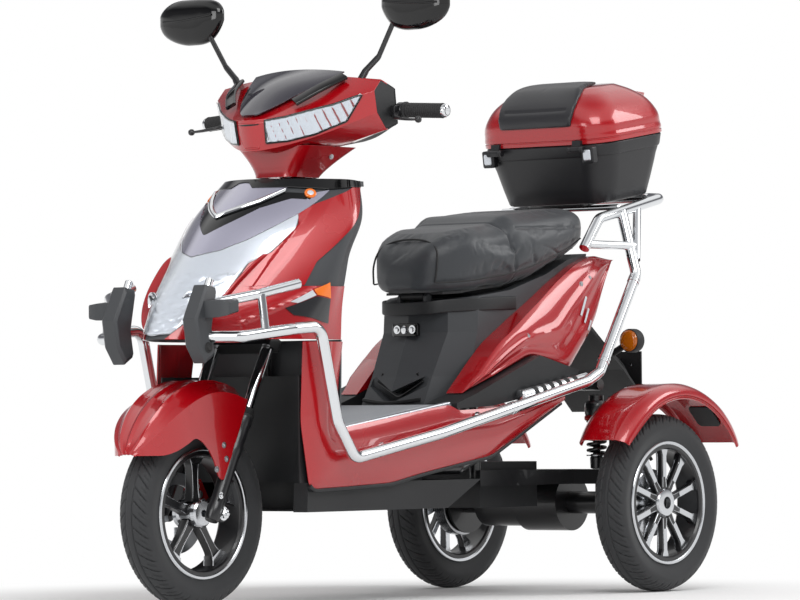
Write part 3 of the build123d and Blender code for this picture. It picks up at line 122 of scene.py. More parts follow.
@dataclass(frozen=True)
class Finish:
    """One real finish: what it is made of and how its surface was made.

    Colours are sRGB hex. grain_mm is the size of the surface's pattern on the real thing and relief_mm
    its height. shade is the colour that the pattern mixes in, and mix how much of it.
    """

    name: str
    surface: Surface
    colour: str
    shade: str
    roughness: float
    metallic: float = 0.0
    coat: float = 0.0
    grain_mm: float = 1.0
    relief_mm: float = 0.0
    mix: float = 0.3
    ior: float = 1.5
    transmission: float = 0.0
    sheen: float = 0.0
    alpha: float = 1.0

    def material(self) -> bpy.types.Material:
        """Builds the material once and gives the same one afterwards."""
        found = bpy.data.materials.get(self.name)
        if found:
            return found
        made = bpy.data.materials.new(self.name)
        made.use_nodes = True
        tree = made.node_tree
        tree.nodes.clear()
        place = add_node(tree, "ShaderNodeTexCoord")
        pattern = self.pattern(tree, place.outputs["Object"])
        wide = add_node(tree, "ShaderNodeTexNoise", {"Scale": 9.0, "Detail": 3.0},
                        {"Vector": place.outputs["Object"]})
        blend = add_node(tree, "ShaderNodeMath", {"operation": "MULTIPLY", 1: self.mix}, {0: pattern})
        colour = add_node(
            tree, "ShaderNodeMix", {"data_type": "RGBA", 6: linear(self.colour), 7: linear(self.shade)},
            {0: blend.outputs[0]})
        rough = add_node(
            tree, "ShaderNodeMapRange", {"To Min": self.roughness * 0.82, "To Max": self.roughness * 1.18},
            {"Value": wide.outputs["Fac"]})
        shader = add_node(
            tree, "ShaderNodeBsdfPrincipled",
            {"Metallic": self.metallic, "Coat Weight": self.coat, "Coat Roughness": 0.03,
             "Transmission Weight": self.transmission, "Sheen Weight": self.sheen, "Alpha": self.alpha},
            {"Base Color": colour.outputs[2], "Roughness": rough.outputs["Result"]})
        if not self.metallic:
            shader.inputs["IOR"].default_value = self.ior
        if self.relief_mm:
            bump = add_node(tree, "ShaderNodeBump",
                            {"Strength": 0.8, "Distance": self.relief_mm / 1000}, {"Height": pattern})
            tree.links.new(bump.outputs["Normal"], shader.inputs["Normal"])
        add_node(tree, "ShaderNodeOutputMaterial", None, {"Surface": shader.outputs["BSDF"]})
        return made

    def pattern(self, tree: bpy.types.NodeTree, where: bpy.types.NodeSocket) -> bpy.types.NodeSocket:
        """Adds the nodes of the surface's own pattern.

        Args:
            tree: The material's node tree.
            where: Object coordinates, in metres.

        Returns:
            A value from 0 to 1 that the colour and the bump read.
        """
        scale = 1000.0 / self.grain_mm
        if self.surface in (Surface.LEATHER, Surface.MOULDED):
            cells = add_node(tree, "ShaderNodeTexVoronoi",
                             {"feature": "DISTANCE_TO_EDGE", "Scale": scale}, {"Vector": where})
            edge = add_node(tree, "ShaderNodeMapRange", {"From Max": 0.3}, {"Value": cells.outputs[0]})
            fine = add_node(tree, "ShaderNodeTexNoise", {"Scale": scale * 2.5, "Detail": 2.0},
                            {"Vector": where})
            both = add_node(tree, "ShaderNodeMath", {"operation": "MULTIPLY"},
                            {0: edge.outputs[0], 1: fine.outputs["Fac"]})
            return both.outputs[0]
        if self.surface is Surface.MACHINED:
            lines = add_node(tree, "ShaderNodeTexWave",
                             {"wave_type": "RINGS", "rings_direction": "Y", "Scale": scale / 6,
                              "Distortion": 0.4, "Detail": 2.0}, {"Vector": where})
            return lines.outputs["Fac"]
        if self.surface is Surface.SPRAYED:
            flakes = add_node(tree, "ShaderNodeTexVoronoi", {"Scale": scale}, {"Vector": where})
            return flakes.outputs["Distance"]
        grain = add_node(tree, "ShaderNodeTexNoise", {"Scale": scale, "Detail": 4.0, "Roughness": 0.6},
                         {"Vector": where})
        return grain.outputs["Fac"]


def cubic_weights(share: Array) -> Array:
    """Catmull-Rom weights: the four weights of the points around a place, by the place's share.

    Args:
        share: The place between its two middle points, 0 to 1.

    Returns:
        The weights along a new last axis.
    """
    s, s2, s3 = share, share ** 2, share ** 3
    return np.stack([-0.5 * s + s2 - 0.5 * s3, 1 - 2.5 * s2 + 1.5 * s3,
                     0.5 * s + 2 * s2 - 1.5 * s3, -0.5 * s2 + 0.5 * s3], -1)


def padded_rows(rows: Array) -> Array:
    """Adds a reflected row before the first and after the last, so that the ends run on straight."""
    return np.concatenate([2 * rows[:1] - rows[1:2], rows, 2 * rows[-1:] - rows[-2:-1]])


def along(rows: Array | list, places: Array) -> Array:
    """Reads a smooth line through rows of values: each place is a cubic mix of the four rows round it.

    Args:
        rows: Values at the whole numbers 0, 1, 2 and so on, of any shape after the first axis.
        places: Where to read, from 0 to the last whole number.

    Returns:
        One block of values for each place.
    """
    rows = np.asarray(rows, float)
    low = np.clip(np.floor(places).astype(int), 0, len(rows) - 2)
    weights = cubic_weights(np.asarray(places, float) - low)
    near = padded_rows(rows)[low[..., None] + np.arange(4)]
    shape = weights.shape + (1,) * (near.ndim - weights.ndim)
    return (near * weights.reshape(shape)).sum(low.ndim)


def smooth(rows: Array | list, count: int) -> Array:
    """The smooth line through rows, read at count even places."""
    return along(rows, np.linspace(0, len(rows) - 1, count))


def straight(rows: Array | list, count: int) -> Array:
    """The straight-edged line through rows, read at count places spread evenly by length."""
    rows = np.asarray(rows, float)
    steps = np.linalg.norm(np.diff(rows, axis=0), axis=1)
    far = np.concatenate([[0], np.cumsum(steps)])
    where = np.linspace(0, far[-1], count)
    return np.stack([np.interp(where, far, rows[:, k]) for k in range(rows.shape[1])], 1)


def sheet_at(control: Array, u: Array, v: Array) -> Array:
    """Reads a smooth surface through a net of points: cubic along the rows and along the columns.

    Args:
        control: The net, rows by columns by 3.
        u: Places along the rows.
        v: Places along the columns, as many as u.

    Returns:
        Points of the surface, shaped as u and v are.
    """
    net = padded_rows(padded_rows(control).swapaxes(0, 1)).swapaxes(0, 1)
    low_u = np.clip(np.floor(u).astype(int), 0, control.shape[0] - 2)
    low_v = np.clip(np.floor(v).astype(int), 0, control.shape[1] - 2)
    near = net[(low_u[..., None] + np.arange(4))[..., :, None],
               (low_v[..., None] + np.arange(4))[..., None, :]]
    weights = cubic_weights(u - low_u)[..., :, None] * cubic_weights(v - low_v)[..., None, :]
    return (near * weights[..., None]).sum((-3, -2))


def unit(vectors: Array) -> Array:
    """The same directions, one long."""
    return vectors / np.maximum(np.linalg.norm(vectors, axis=-1, keepdims=True), 1e-12)


def grid_normals(points: Array) -> Array:
    """Normals of a grid: the cross product of its slopes along both of its directions."""
    return unit(np.cross(np.gradient(points, axis=0), np.gradient(points, axis=1)))


def full_turn(steps: int) -> Array:
    """Even steps round a circle, in radians, without the closing one."""
    return np.linspace(0, 2 * math.pi, steps, endpoint=False)


def circle(sides: int) -> Array:
    """Cosine and sine at even steps round a circle."""
    turn = full_turn(sides)
    return np.stack([np.cos(turn), np.sin(turn)], 1)


def held(values: Array) -> Array:
    """The same values, held between 0 and 1."""
    return np.clip(values, 0, 1)


def rounded_box(width: float, height: float, corner: float, per_corner: int = 4) -> Array:
    """A rectangle's outline with round corners, centred, as 4 arcs joined by straight sides."""
    turns = np.linspace(0, math.pi / 2, per_corner)
    middles = np.array([(1, 1), (-1, 1), (-1, -1), (1, -1)]) * (width / 2 - corner, height / 2 - corner)
    angles = turns[None, :] + np.arange(4)[:, None] * math.pi / 2
    arcs = np.stack([np.cos(angles), np.sin(angles)], -1) * corner
    return (middles[:, None, :] + arcs).reshape(-1, 2)


def carried(path: Array, profile: Array, up: tuple = (0, 0, 1), scale: Array | float = 1.0) -> Array:
    """Carries a flat profile along a path, square to it, with its second axis nearest to up.

    Args:
        path: Points of the path.
        profile: The outline as pairs: sideways, then upwards.
        up: The direction that the profile's second axis keeps to.
        scale: One factor, or one for each point of the path.

    Returns:
        A grid of points, path by profile.
    """
    ahead = unit(np.gradient(path, axis=0))
    side = unit(np.cross(np.asarray(up, float), ahead))
    over = np.cross(ahead, side)
    factor = np.broadcast_to(np.asarray(scale, float), (len(path),))[:, None, None]
    shape = profile[None, :, :1] * side[:, None, :] + profile[None, :, 1:] * over[:, None, :]
    return path[:, None, :] + shape * factor


def turned_about_y(profile: Array, centre: tuple, turns: Array) -> Array:
    """Turns a profile of (y, radius) pairs about an axle that lies along Y, one ring for each angle."""
    ring = np.stack([np.sin(turns), np.cos(turns)], 1)
    x = centre[0] + ring[:, None, 0] * profile[None, :, 1]
    z = centre[2] + ring[:, None, 1] * profile[None, :, 1]
    y = centre[1] + np.broadcast_to(profile[None, :, 0], x.shape)
    return np.stack([x, y, z], -1)


def linked(name: str, data: bpy.types.ID) -> bpy.types.Object:
    """Makes an object of some data and links it to the scene."""
    made = bpy.data.objects.new(name, data)
    bpy.context.scene.collection.objects.link(made)
    return made


def weld(mesh: bpy.types.Mesh) -> None:
    """Joins the points that lie together and turns a closed mesh's faces outwards."""
    work = bmesh.new()
    work.from_mesh(mesh)
    bmesh.ops.remove_doubles(work, verts=work.verts, dist=WELD_M)
    bmesh.ops.recalc_face_normals(work, faces=work.faces)
    work.to_mesh(mesh)
    work.free()


def mirrored(points: Array) -> Array:
    """The same points on the rider's right."""
    return points * np.array([1.0, -1.0, 1.0])


@dataclass
class Shape:
    """A mesh gathered from whole grids of points, in millimetres from the rear axle."""

    blocks: list[Array] = field(default_factory=list)
    faces: list[list] = field(default_factory=list)
    slots: list[int] = field(default_factory=list)
    count: int = 0

    def grid(self, points: Array, wrap_u: bool = False, wrap_v: bool = False, slot: int = 0,
             caps: bool = False) -> "Shape":
        """Adds a grid of quads, numbered row by row.

        Args:
            points: Rows by columns by 3.
            wrap_u: Joins the last row to the first.
            wrap_v: Joins the last column to the first.
            slot: The number of the faces' material.
            caps: Closes the first and the last row with one face each.

        Returns:
            The shape itself.
        """
        rows, columns = points.shape[:2]
        i = np.arange(rows if wrap_u else rows - 1)[:, None]
        j = np.arange(columns if wrap_v else columns - 1)[None, :]
        k, m = (i + 1) % rows, (j + 1) % columns
        quads = np.stack([i * columns + j, k * columns + j, k * columns + m, i * columns + m], -1)
        made = (quads.reshape(-1, 4) + self.count).tolist()
        if caps:
            made.append(list(range(self.count, self.count + columns)))
            made.append(list(range(self.count + (rows - 1) * columns, self.count + rows * columns)))
        self.blocks.append(points.reshape(-1, 3))
        self.faces += made
        self.slots += [slot] * len(made)
        self.count += rows * columns
        return self

    def solid(self, rings: Array, slot: int = 0) -> "Shape":
        """Adds a closed solid: rings of points joined into one wall, with both ends capped."""
        return self.grid(rings, wrap_v=True, slot=slot, caps=True)

    def turned(self, profile: list | Array, start: tuple | Array, end: tuple | Array, sides: int = 28,
               slot: int = 0) -> "Shape":
        """Adds a solid turned round the line from start to end; see lathe."""
        return self.solid(lathe(profile, start, end, sides), slot)

    def bar(self, path: Array, profile: Array, up: tuple = (0, 0, 1), scale: Array | float = 1.0,
            slot: int = 0) -> "Shape":
        """Adds a solid bar of one profile along a path; see carried."""
        return self.solid(carried(path, profile, up, scale), slot)

    def shell(self, points: Array, wall: float) -> "Shape":
        """Adds a closed sheet: the grid, the same grid moved along its normals, and the rim between.

        Args:
            points: The outer face.
            wall: How far the inner face lies against the grid's normals; negative for the other side.

        Returns:
            The shape itself.
        """
        inner = points - grid_normals(points) * wall
        self.grid(points)
        self.grid(inner[:, ::-1])
        for edge in ((0, slice(None)), (-1, slice(None, None, -1)), (slice(None, None, -1), 0),
                     (slice(None), -1)):
            self.grid(np.stack([points[edge], inner[edge]]))
        return self

    def mesh(self, name: str) -> bpy.types.Mesh:
        """The shape as a Blender mesh, in metres in the part's own frame."""
        points = np.concatenate(self.blocks) / 1000.0 + np.array([AXLE_X, 0, 0])
        made = bpy.data.meshes.new(name)
        made.from_pydata(points.tolist(), [], self.faces)
        return made

    def both(self) -> "Shape":
        """Adds the mirror image of all that is there."""
        whole = np.concatenate(self.blocks)
        self.faces += [[number + self.count for number in reversed(face)] for face in self.faces]
        self.slots += list(self.slots)
        self.blocks = [whole, mirrored(whole)]
        self.count *= 2
        return self

    def tube(self, path: Array, radius: Array | float, sides: int = 20, up: tuple = (0, 0, 1),
             slot: int = 0) -> "Shape":
        """Adds a round bar along a path, with its ends closed."""
        return self.bar(path, circle(sides), up, radius, slot)

    def piece(self, name: str, body: Body, finishes: list[Finish], stands_for: tuple = (),
              slot: str | None = None, bevel_mm: float = 0.0,
              sharp_deg: float = 38.0) -> bpy.types.Object:
        """Makes the Blender object, in metres in the part's own frame, riding on its body.

        Args:
            name: The piece's name.
            body: The CAD body that it rides on.
            finishes: The finishes, by slot number.
            stands_for: CAD nodes that it replaces.
            slot: Not used.
            bevel_mm: Width of a small round on its sharp edges.
            sharp_deg: Edges that turn more than this stay sharp.

        Returns:
            The object.
        """
        mesh = self.mesh(name)
        mesh.polygons.foreach_set("material_index", np.array(self.slots, np.int32))
        for finish in finishes:
            mesh.materials.append(finish.material())
        weld(mesh)
        mesh.polygons.foreach_set("use_smooth", np.ones(len(mesh.polygons), bool))
        mesh.set_sharp_from_angle(angle=math.radians(sharp_deg))
        made = linked(name, mesh)
        if bevel_mm:
            rounding = made.modifiers.new("rounding", "BEVEL")
            rounding.width = bevel_mm / 1000
            rounding.segments = 2
            rounding.limit_method = "ANGLE"
            rounding.angle_limit = math.radians(sharp_deg)
            rounding.harden_normals = True
        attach(made, body.value)
        if stands_for:
            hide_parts(*stands_for)
        log.info("%s: %d faces on %s", name, len(mesh.polygons), body.value)
        return made


@dataclass(frozen=True)
class Shop:
    """Every finish of the tricycle, named for the real material."""

    # Candy red lacquer over ABS: deep colour, fine flake and a wet clear coat.
    red: Finish = Finish(
        "candy_red_lacquer_on_abs", Surface.SPRAYED, "#B2000F", "#820008", 0.26, 0.12, 1.0, 0.9, 0.0, 0.5)
    # Black ABS with a polished mould: a clear hard gloss.
    gloss: Finish = Finish(
        "polished_black_abs", Surface.MOULDED, "#050506", "#0C0C0E", 0.1, 0.0, 0.3, 1.2, 0.0, 0.4, 1.42)
    # Dark grey polypropylene from an etched mould: a fine dull grain.
    grey: Finish = Finish(
        "etched_grey_polypropylene", Surface.MOULDED, "#3A3C3F", "#2C2E31", 0.46, 0.0, 0.0, 0.8, 0.05, 0.6)
    # Black polypropylene, coarser and duller, on liners and pans.
    black: Finish = Finish(
        "black_polypropylene", Surface.MOULDED, "#191A1C", "#101113", 0.52, 0.0, 0.0, 1.4, 0.06, 0.6)
    # Black textured case plastic.
    case: Finish = Finish(
        "textured_black_case_abs", Surface.MOULDED, "#1B1B1E", "#0E0E10", 0.4, 0.0, 0.0, 2.0, 0.12, 0.6)
    # Chrome plate on steel tube: a mirror with a faint haze.
    chrome: Finish = Finish(
        "chrome_plated_steel", Surface.PLATED, "#E4E6E8", "#CFD2D6", 0.06, 1.0, 0.0, 6.0, 0.0, 0.3)
    # Wet black paint on welded steel tube.
    enamel: Finish = Finish(
        "black_enamelled_steel", Surface.PLATED, "#151517", "#1E1E20", 0.3, 0.0, 0.4, 5.0, 0.0, 0.4)
    # Cast aluminium under satin black paint.
    cast: Finish = Finish(
        "black_painted_cast_aluminium", Surface.CAST, "#141416", "#1F1F22", 0.34, 0.0, 0.3, 1.6, 0.03, 0.5)
    # Bright turned aluminium on the rims: fine rings left by the tool.
    turned: Finish = Finish(
        "turned_bright_aluminium", Surface.MACHINED, "#D7D9DC", "#B4B7BB", 0.22, 1.0, 0.0, 1.2, 0.004, 0.5)
    # Ground steel of the brake disc.
    steel: Finish = Finish(
        "ground_stainless_steel", Surface.MACHINED, "#B9BBBE", "#8C8F93", 0.3, 1.0, 0.0, 1.0, 0.004, 0.6)
    # Cured tyre rubber, matt with a dusty bloom.
    tyre: Finish = Finish("cured_tyre_rubber", Surface.VULCANISED, "#232426", "#37383A", 0.70, 0.0, 0.0,
                          3.0, 0.08, 0.5, sheen=0.1)
    # Softer grip rubber: a faint grain with no shine.
    rubber: Finish = Finish(
        "soft_black_rubber", Surface.VULCANISED, "#1A1A1B", "#262627", 0.62, 0.0, 0.0, 1.5, 0.05, 0.4)
    # Embossed vinyl leather of the saddle.
    saddle: Finish = Finish("embossed_grey_vinyl_leather", Surface.LEATHER, "#34373B", "#25282B", 0.44, 0.0,
                            0.0, 2.4, 0.12, 0.7, sheen=0.15)
    # Smoother pad vinyl of the backrest.
    pad: Finish = Finish("smooth_black_vinyl", Surface.LEATHER, "#222226", "#17171A", 0.36, 0.0, 0.0,
                         2.0, 0.06, 0.5, sheen=0.1)
    # Clear polycarbonate lamp cover: wet highlights over what lies behind.
    clear: Finish = Finish("clear_polycarbonate", Surface.CLEAR, "#F4F7FA", "#FFFFFF", 0.03, 0.0, 0.0,
                           8.0, 0.0, 0.2, 1.585, 1.0)
    # Vacuum-metallised reflector behind the lamp covers.
    mirror: Finish = Finish(
        "metallised_reflector", Surface.PLATED, "#EEF0F4", "#D3D8E0", 0.16, 1.0, 0.0, 7.0, 0.0, 0.5)
    # Reflector behind the nose cover, painted pale white: the colour is a painted reflection that stands in
    # for the bright room a metallised reflector would mirror, so it looks bright from every side.
    reflector: Finish = Finish(
        "white_enamelled_reflector", Surface.PLATED, "#EDEFF4", "#D8DCE6", 0.22, 0.25, 0.5, 7.0, 0.0, 0.5)
    # Pale inner trim behind the nose lens.
    silver: Finish = Finish(
        "silver_painted_abs", Surface.SPRAYED, "#D9DDE3", "#C2C7CF", 0.28, 0.55, 0.5, 0.8, 0.0, 0.4)
    # Lilac-silver pearl paint of the nose panel.
    nose: Finish = Finish(
        "silver_lilac_pearl_paint", Surface.SPRAYED, "#A9A8B8", "#8E8CA0", 0.2, 0.45, 1.0, 0.8, 0.0, 0.5)
    # Smoked acrylic windscreen: dark, glossy and partly clear.
    smoked: Finish = Finish(
        "smoked_acrylic", Surface.CLEAR, "#3D3B44", "#4B4954", 0.07, 0.0, 0.6, 9.0, 0.0, 0.3, 1.49, 0.35)
    # Red and amber moulded lamp covers: light comes back coloured and a little clear.
    stop: Finish = Finish(
        "red_lamp_acrylic", Surface.CLEAR, "#B5101A", "#8A0910", 0.08, 0.0, 0.6, 5.0, 0.0, 0.4, 1.49, 0.25)
    amber: Finish = Finish("amber_lamp_acrylic", Surface.CLEAR, "#E07A10", "#C96206", 0.08, 0.0, 0.6, 5.0,
                           0.0, 0.4, 1.49, 0.25)
    # Anodised red of the caliper and the shock's ring.
    anodised: Finish = Finish(
        "red_anodised_aluminium", Surface.PLATED, "#B31B1E", "#8A1114", 0.3, 0.7, 0.0, 3.0, 0.0, 0.4)
    # Silver-grey floor moulding: an even, slightly rough plastic.
    floor: Finish = Finish(
        "silver_grey_floor_abs", Surface.MOULDED, "#8E9196", "#7C8084", 0.42, 0.1, 0.2, 1.6, 0.08, 0.5)
    # Plain decal films under lacquer: orange, black and silver fields with no print.
    orange: Finish = Finish(
        "orange_decal_film", Surface.PRINTED, "#E8741A", "#D9650F", 0.25, 0.0, 0.8, 4.0, 0.0, 0.2)
    ink: Finish = Finish(
        "black_decal_film", Surface.PRINTED, "#1A1A1D", "#242428", 0.25, 0.0, 0.8, 4.0, 0.0, 0.3)
    pale: Finish = Finish(
        "silver_decal_film", Surface.PRINTED, "#C9CDD2", "#B9BEC4", 0.25, 0.0, 0.8, 4.0, 0.0, 0.3)


SHOP = Shop()

DRESS: dict[str, Finish] = {
    "front_tyre": SHOP.tyre, "rear_left_tyre": SHOP.tyre, "rear_right_tyre": SHOP.tyre,
    "front_rim": SHOP.cast, "rear_left_rim": SHOP.cast, "rear_right_rim": SHOP.cast,
    "front_disc": SHOP.steel, "fork_yoke": SHOP.enamel, "fork_stanchions": SHOP.chrome,
    "fork_sliders": SHOP.cast, "brake_caliper": SHOP.anodised, "front_fender": SHOP.red,
    "handlebar": SHOP.enamel, "bar_ends": SHOP.chrome, "head_cover": SHOP.red,
    "head_lamps": SHOP.mirror, "head_grille": SHOP.gloss, "dash_panel": SHOP.black,
    "windscreen": SHOP.smoked, "neck_cover": SHOP.red, "grips": SHOP.rubber,
    "brake_levers": SHOP.gloss, "mirrors": SHOP.gloss, "frame": SHOP.enamel,
    "battery_pack": SHOP.black, "belly_pan": SHOP.black, "floorboard": SHOP.floor,
    "sill_panels": SHOP.red, "wheel_liner": SHOP.black, "knee_panel": SHOP.grey,
    "shield_cap": SHOP.gloss, "leg_shield": SHOP.red, "nose_panel": SHOP.gloss,
    "front_lens": SHOP.silver, "seat_base": SHOP.grey, "tail_panels": SHOP.red,
    "foot_panels": SHOP.black, "footrests": SHOP.chrome, "guard_bar_left": SHOP.chrome,
    "guard_bar_right": SHOP.chrome, "nose_bars": SHOP.chrome, "bumper_horns": SHOP.grey,
    "rear_rack": SHOP.chrome, "case_base": SHOP.case, "rear_axle": SHOP.cast,
    "swing_arm": SHOP.enamel, "controller_box": SHOP.black, "shock_absorbers": SHOP.enamel,
    "rear_fenders": SHOP.red, "tail_lamps": SHOP.stop, "rear_mudguard": SHOP.black,
    "indicators": SHOP.amber, "saddle_cushion": SHOP.saddle, "saddle_pan": SHOP.black,
    "case_lid": SHOP.red, "backrest_pad": SHOP.pad,
}


def bent(points: list | Array, bend: float, steps: int = 7) -> Array:
    """A path with round corners: at each corner an arc of the bend's radius touches both runs.

    Args:
        points: The corners, in millimetres.
        bend: The arcs' radius; it shrinks where a run is too short for it.
        steps: Points on each arc.

    Returns:
        The path's points.
    """
    corner = np.asarray(points, float)
    into, out = unit(corner[1:-1] - corner[:-2]), unit(corner[2:] - corner[1:-1])
    cosine = np.clip((into * out).sum(1), -1, 1)
    turn = np.arccos(cosine)
    runs = np.linalg.norm(np.diff(corner, axis=0), axis=1)
    reach = np.minimum(bend * np.tan(turn / 2), 0.45 * np.minimum(runs[:-1], runs[1:]))
    radius = reach / np.maximum(np.tan(turn / 2), 1e-6)
    inward = unit(out - into * cosine[:, None])
    angle = np.linspace(0, 1, steps)[None, :, None] * turn[:, None, None]
    arcs = (corner[1:-1] - into * reach[:, None])[:, None, :] + radius[:, None, None] * (
        np.sin(angle) * into[:, None, :] + (1 - np.cos(angle)) * inward[:, None, :])
    return np.concatenate([corner[:1], arcs.reshape(-1, 3), corner[-1:]])


def flat(outline: list | Array, axis: str, at: float) -> Array:
    """Lifts an outline of pairs into space: axis "x" takes (y, z), "y" takes (x, z), "z" takes (x, y)."""
    pairs = np.asarray(outline, float)
    level = np.full(len(pairs), float(at))
    order = {"x": (level, pairs[:, 0], pairs[:, 1]), "y": (pairs[:, 0], level, pairs[:, 1]),
             "z": (pairs[:, 0], pairs[:, 1], level)}
    return np.stack(order[axis], 1)


def drawn(outline: list | tuple | Array, axis: str, rows: tuple) -> Array:
    """An outline repeated at levels, each time scaled about its own middle, from (level, scale) rows."""
    pairs = np.array(outline, float)
    middle = pairs.mean(0)
    return np.stack([flat((pairs - middle) * scale + middle, axis, level) for level, scale in rows])


def facing(outline: Array, rows: tuple, y: float, z: float) -> Array:
    """An outline that faces along X, repeated for (x, scale) rows about a place across and a height."""
    return np.stack([np.stack([np.full(len(outline), x), y + outline[:, 0] * scale,
                               z + outline[:, 1] * scale], 1) for x, scale in rows])


def about_y(points: Array, centre: tuple, turn: float) -> Array:
    """Points turned about an axle that lies along Y through a centre."""
    moved = points - np.asarray(centre, float)
    cosine, sine = math.cos(turn), math.sin(turn)
    spin = np.array([[cosine, 0, -sine], [0, 1, 0], [sine, 0, cosine]])
    return moved @ spin + np.asarray(centre, float)


def lathe(profile: list | Array, start: tuple, end: tuple, sides: int = 28) -> Array:
    """Turns (distance, radius) pairs round the line from start to end, as a grid for Shape.grid."""
    line = np.asarray(end, float) - np.asarray(start, float)
    ahead = unit(line)
    side = unit(np.cross(ahead, (0.31, 0.52, 0.8) if abs(ahead[2]) > 0.9 else (0, 0, 1.0)))
    over = np.cross(ahead, side)
    rows = np.asarray(profile, float)
    ring = circle(sides)
    round_about = ring[None, :, :1] * side + ring[None, :, 1:] * over
    return np.asarray(start, float) + rows[:, None, :1] * ahead + rows[:, None, 1:] * round_about


def add_bolt(shape: Shape, at: tuple, way: tuple, radius: float = 4.0, height: float = 3.0,
             slot: int = 0) -> Shape:
    """Adds a domed bolt head with a washer: a profile turned round the bolt's own line."""
    start = np.asarray(at, float)
    rows = [(-1.5, radius * 1.5), (0.6, radius * 1.5), (0.7, radius), (height * 0.8, radius * 0.9),
            (height, radius * 0.5), (height, 0.1)]
    return shape.turned(rows, start, start + unit(np.asarray(way, float)), 12, slot=slot)


@dataclass
class Studio:
    """The pale floor, the soft lights and the camera at the photograph's place."""

    camera_at: tuple = (8.7547, 7.1597, 0.4060)
    turn_deg: float = 39.142
    rise_deg: float = -1.354
    roll_deg: float = -0.527
    lens_mm: float = 225.0
    floor_half: float = 60.0

    def camera(self) -> None:
        """Sets the camera from its place and three angles: round Z, above the level, and its roll."""
        turn, rise, roll = (math.radians(v) for v in (self.turn_deg, self.rise_deg, self.roll_deg))
        back = Vector((math.cos(turn) * math.cos(rise), math.sin(turn) * math.cos(rise), math.sin(rise)))
        right = Vector((0, 0, 1)).cross(back).normalized()
        over = back.cross(right)
        right, over = (right * math.cos(roll) + over * math.sin(roll),
                       over * math.cos(roll) - right * math.sin(roll))
        data = bpy.data.cameras.new("camera")
        data.lens = self.lens_mm
        data.sensor_width = 36.0
        data.clip_end = 200.0
        camera = linked("camera", data)
        camera.matrix_world = (Matrix.Translation(self.camera_at)
                               @ Matrix((right, over, back)).transposed().to_4x4())
        bpy.context.scene.camera = camera

    def floor(self) -> None:
        """Lays the floor: pale paper near the object, which fades into plain white further off."""
        half = self.floor_half
        mesh = bpy.data.meshes.new("floor")
        mesh.from_pydata([(-half, -half, 0), (half, -half, 0), (half, half, 0), (-half, half, 0)], [],
                         [(0, 1, 2, 3)])
        paper = bpy.data.materials.new("pale_backdrop_paper")
        paper.use_nodes = True
        tree = paper.node_tree
        tree.nodes.clear()
        place = add_node(tree, "ShaderNodeTexCoord")
        far = add_node(tree, "ShaderNodeVectorMath", {"operation": "LENGTH"}, {0: place.outputs["Object"]})
        fade = add_node(tree, "ShaderNodeMapRange",
                        {"interpolation_type": "SMOOTHSTEP", "From Min": 0.7, "From Max": 1.5},
                        {"Value": far.outputs["Value"]})
        matt = add_node(tree, "ShaderNodeBsdfDiffuse", {"Color": linear("#F4F4F4")})
        light = add_node(tree, "ShaderNodeEmission", {"Color": linear("#FFFFFF"), "Strength": 1.0})
        mix = add_node(tree, "ShaderNodeMixShader", None,
                       {0: fade.outputs[0], 1: matt.outputs[0], 2: light.outputs[0]})
        add_node(tree, "ShaderNodeOutputMaterial", None, {"Surface": mix.outputs[0]})
        mesh.materials.append(paper)
        linked("floor", mesh)

    def world(self) -> None:
        """Lights the room softly; the camera and mirror rays see a white room with greyer bands."""
        world = bpy.data.worlds.new("room")
        bpy.context.scene.world = world
        world.use_nodes = True
        tree = world.node_tree
        tree.nodes.clear()
        place = add_node(tree, "ShaderNodeTexCoord")
        parts = add_node(tree, "ShaderNodeSeparateXYZ", None, {0: place.outputs["Generated"]})
        bands = add_node(tree, "ShaderNodeValToRGB", None, {0: parts.outputs["Z"]})
        stops = ((0.0, "#E8E8E8"), (0.10, "#FFFFFF"), (0.22, "#8A8A8E"), (0.42, "#5E5E62"),
                 (0.60, "#FFFFFF"), (0.85, "#FFFFFF"), (1.0, "#9A9A9E"))
        ramp = bands.color_ramp
        for stop in stops[1:-1]:
            ramp.elements.new(stop[0])
        for element, (place_on_ramp, colour) in zip(ramp.elements, stops):
            element.position = place_on_ramp
            element.color = linear(colour)
        rays = add_node(tree, "ShaderNodeLightPath")
        ambient = add_node(tree, "ShaderNodeBackground", {"Color": linear("#FFFFFF"), "Strength": 0.62})
        seen = add_node(tree, "ShaderNodeBackground", {"Strength": 1.0}, {"Color": bands.outputs[0]})
        white = add_node(tree, "ShaderNodeBackground", {"Color": linear("#FFFFFF"), "Strength": 1.0})
        glossy = add_node(tree, "ShaderNodeMixShader", None,
                          {0: rays.outputs["Is Glossy Ray"], 1: ambient.outputs[0], 2: seen.outputs[0]})
        straight_on = add_node(tree, "ShaderNodeMath", {"operation": "MAXIMUM"},
                               {0: rays.outputs["Is Camera Ray"], 1: rays.outputs["Is Transmission Ray"]})
        out = add_node(tree, "ShaderNodeMixShader", None,
                       {0: straight_on.outputs[0], 1: glossy.outputs[0], 2: white.outputs[0]})
        add_node(tree, "ShaderNodeOutputWorld", None, {"Surface": out.outputs[0]})

    def lamp(self, name: str, place: tuple, aim: tuple, size: float, watts: float) -> None:
        """Adds one square soft light at a place, aimed at a point."""
        data = bpy.data.lights.new(name, "AREA")
        data.shape = "SQUARE"
        data.size = size
        data.energy = watts
        lamp = linked(name, data)
        lamp.location = place
        lamp.rotation_euler = (Vector(aim) - Vector(place)).to_track_quat("-Z", "Y").to_euler()

    def build(self) -> None:
        """Sets up the whole studio."""
        bpy.context.scene.view_settings.view_transform = "Standard"
        self.camera()
        self.floor()
        self.world()
        self.lamp("key", (2.2, 2.6, 3.4), (0.1, 0.0, 0.5), 2.2, 75.0)
        self.lamp("front", (4.2, 0.2, 1.9), (0.3, 0.0, 0.6), 1.6, 35.0)
        self.lamp("back", (-2.6, 2.4, 2.6), (-0.2, 0.0, 0.6), 1.6, 40.0)
        log.info("studio: camera %.0f mm", self.lens_mm)


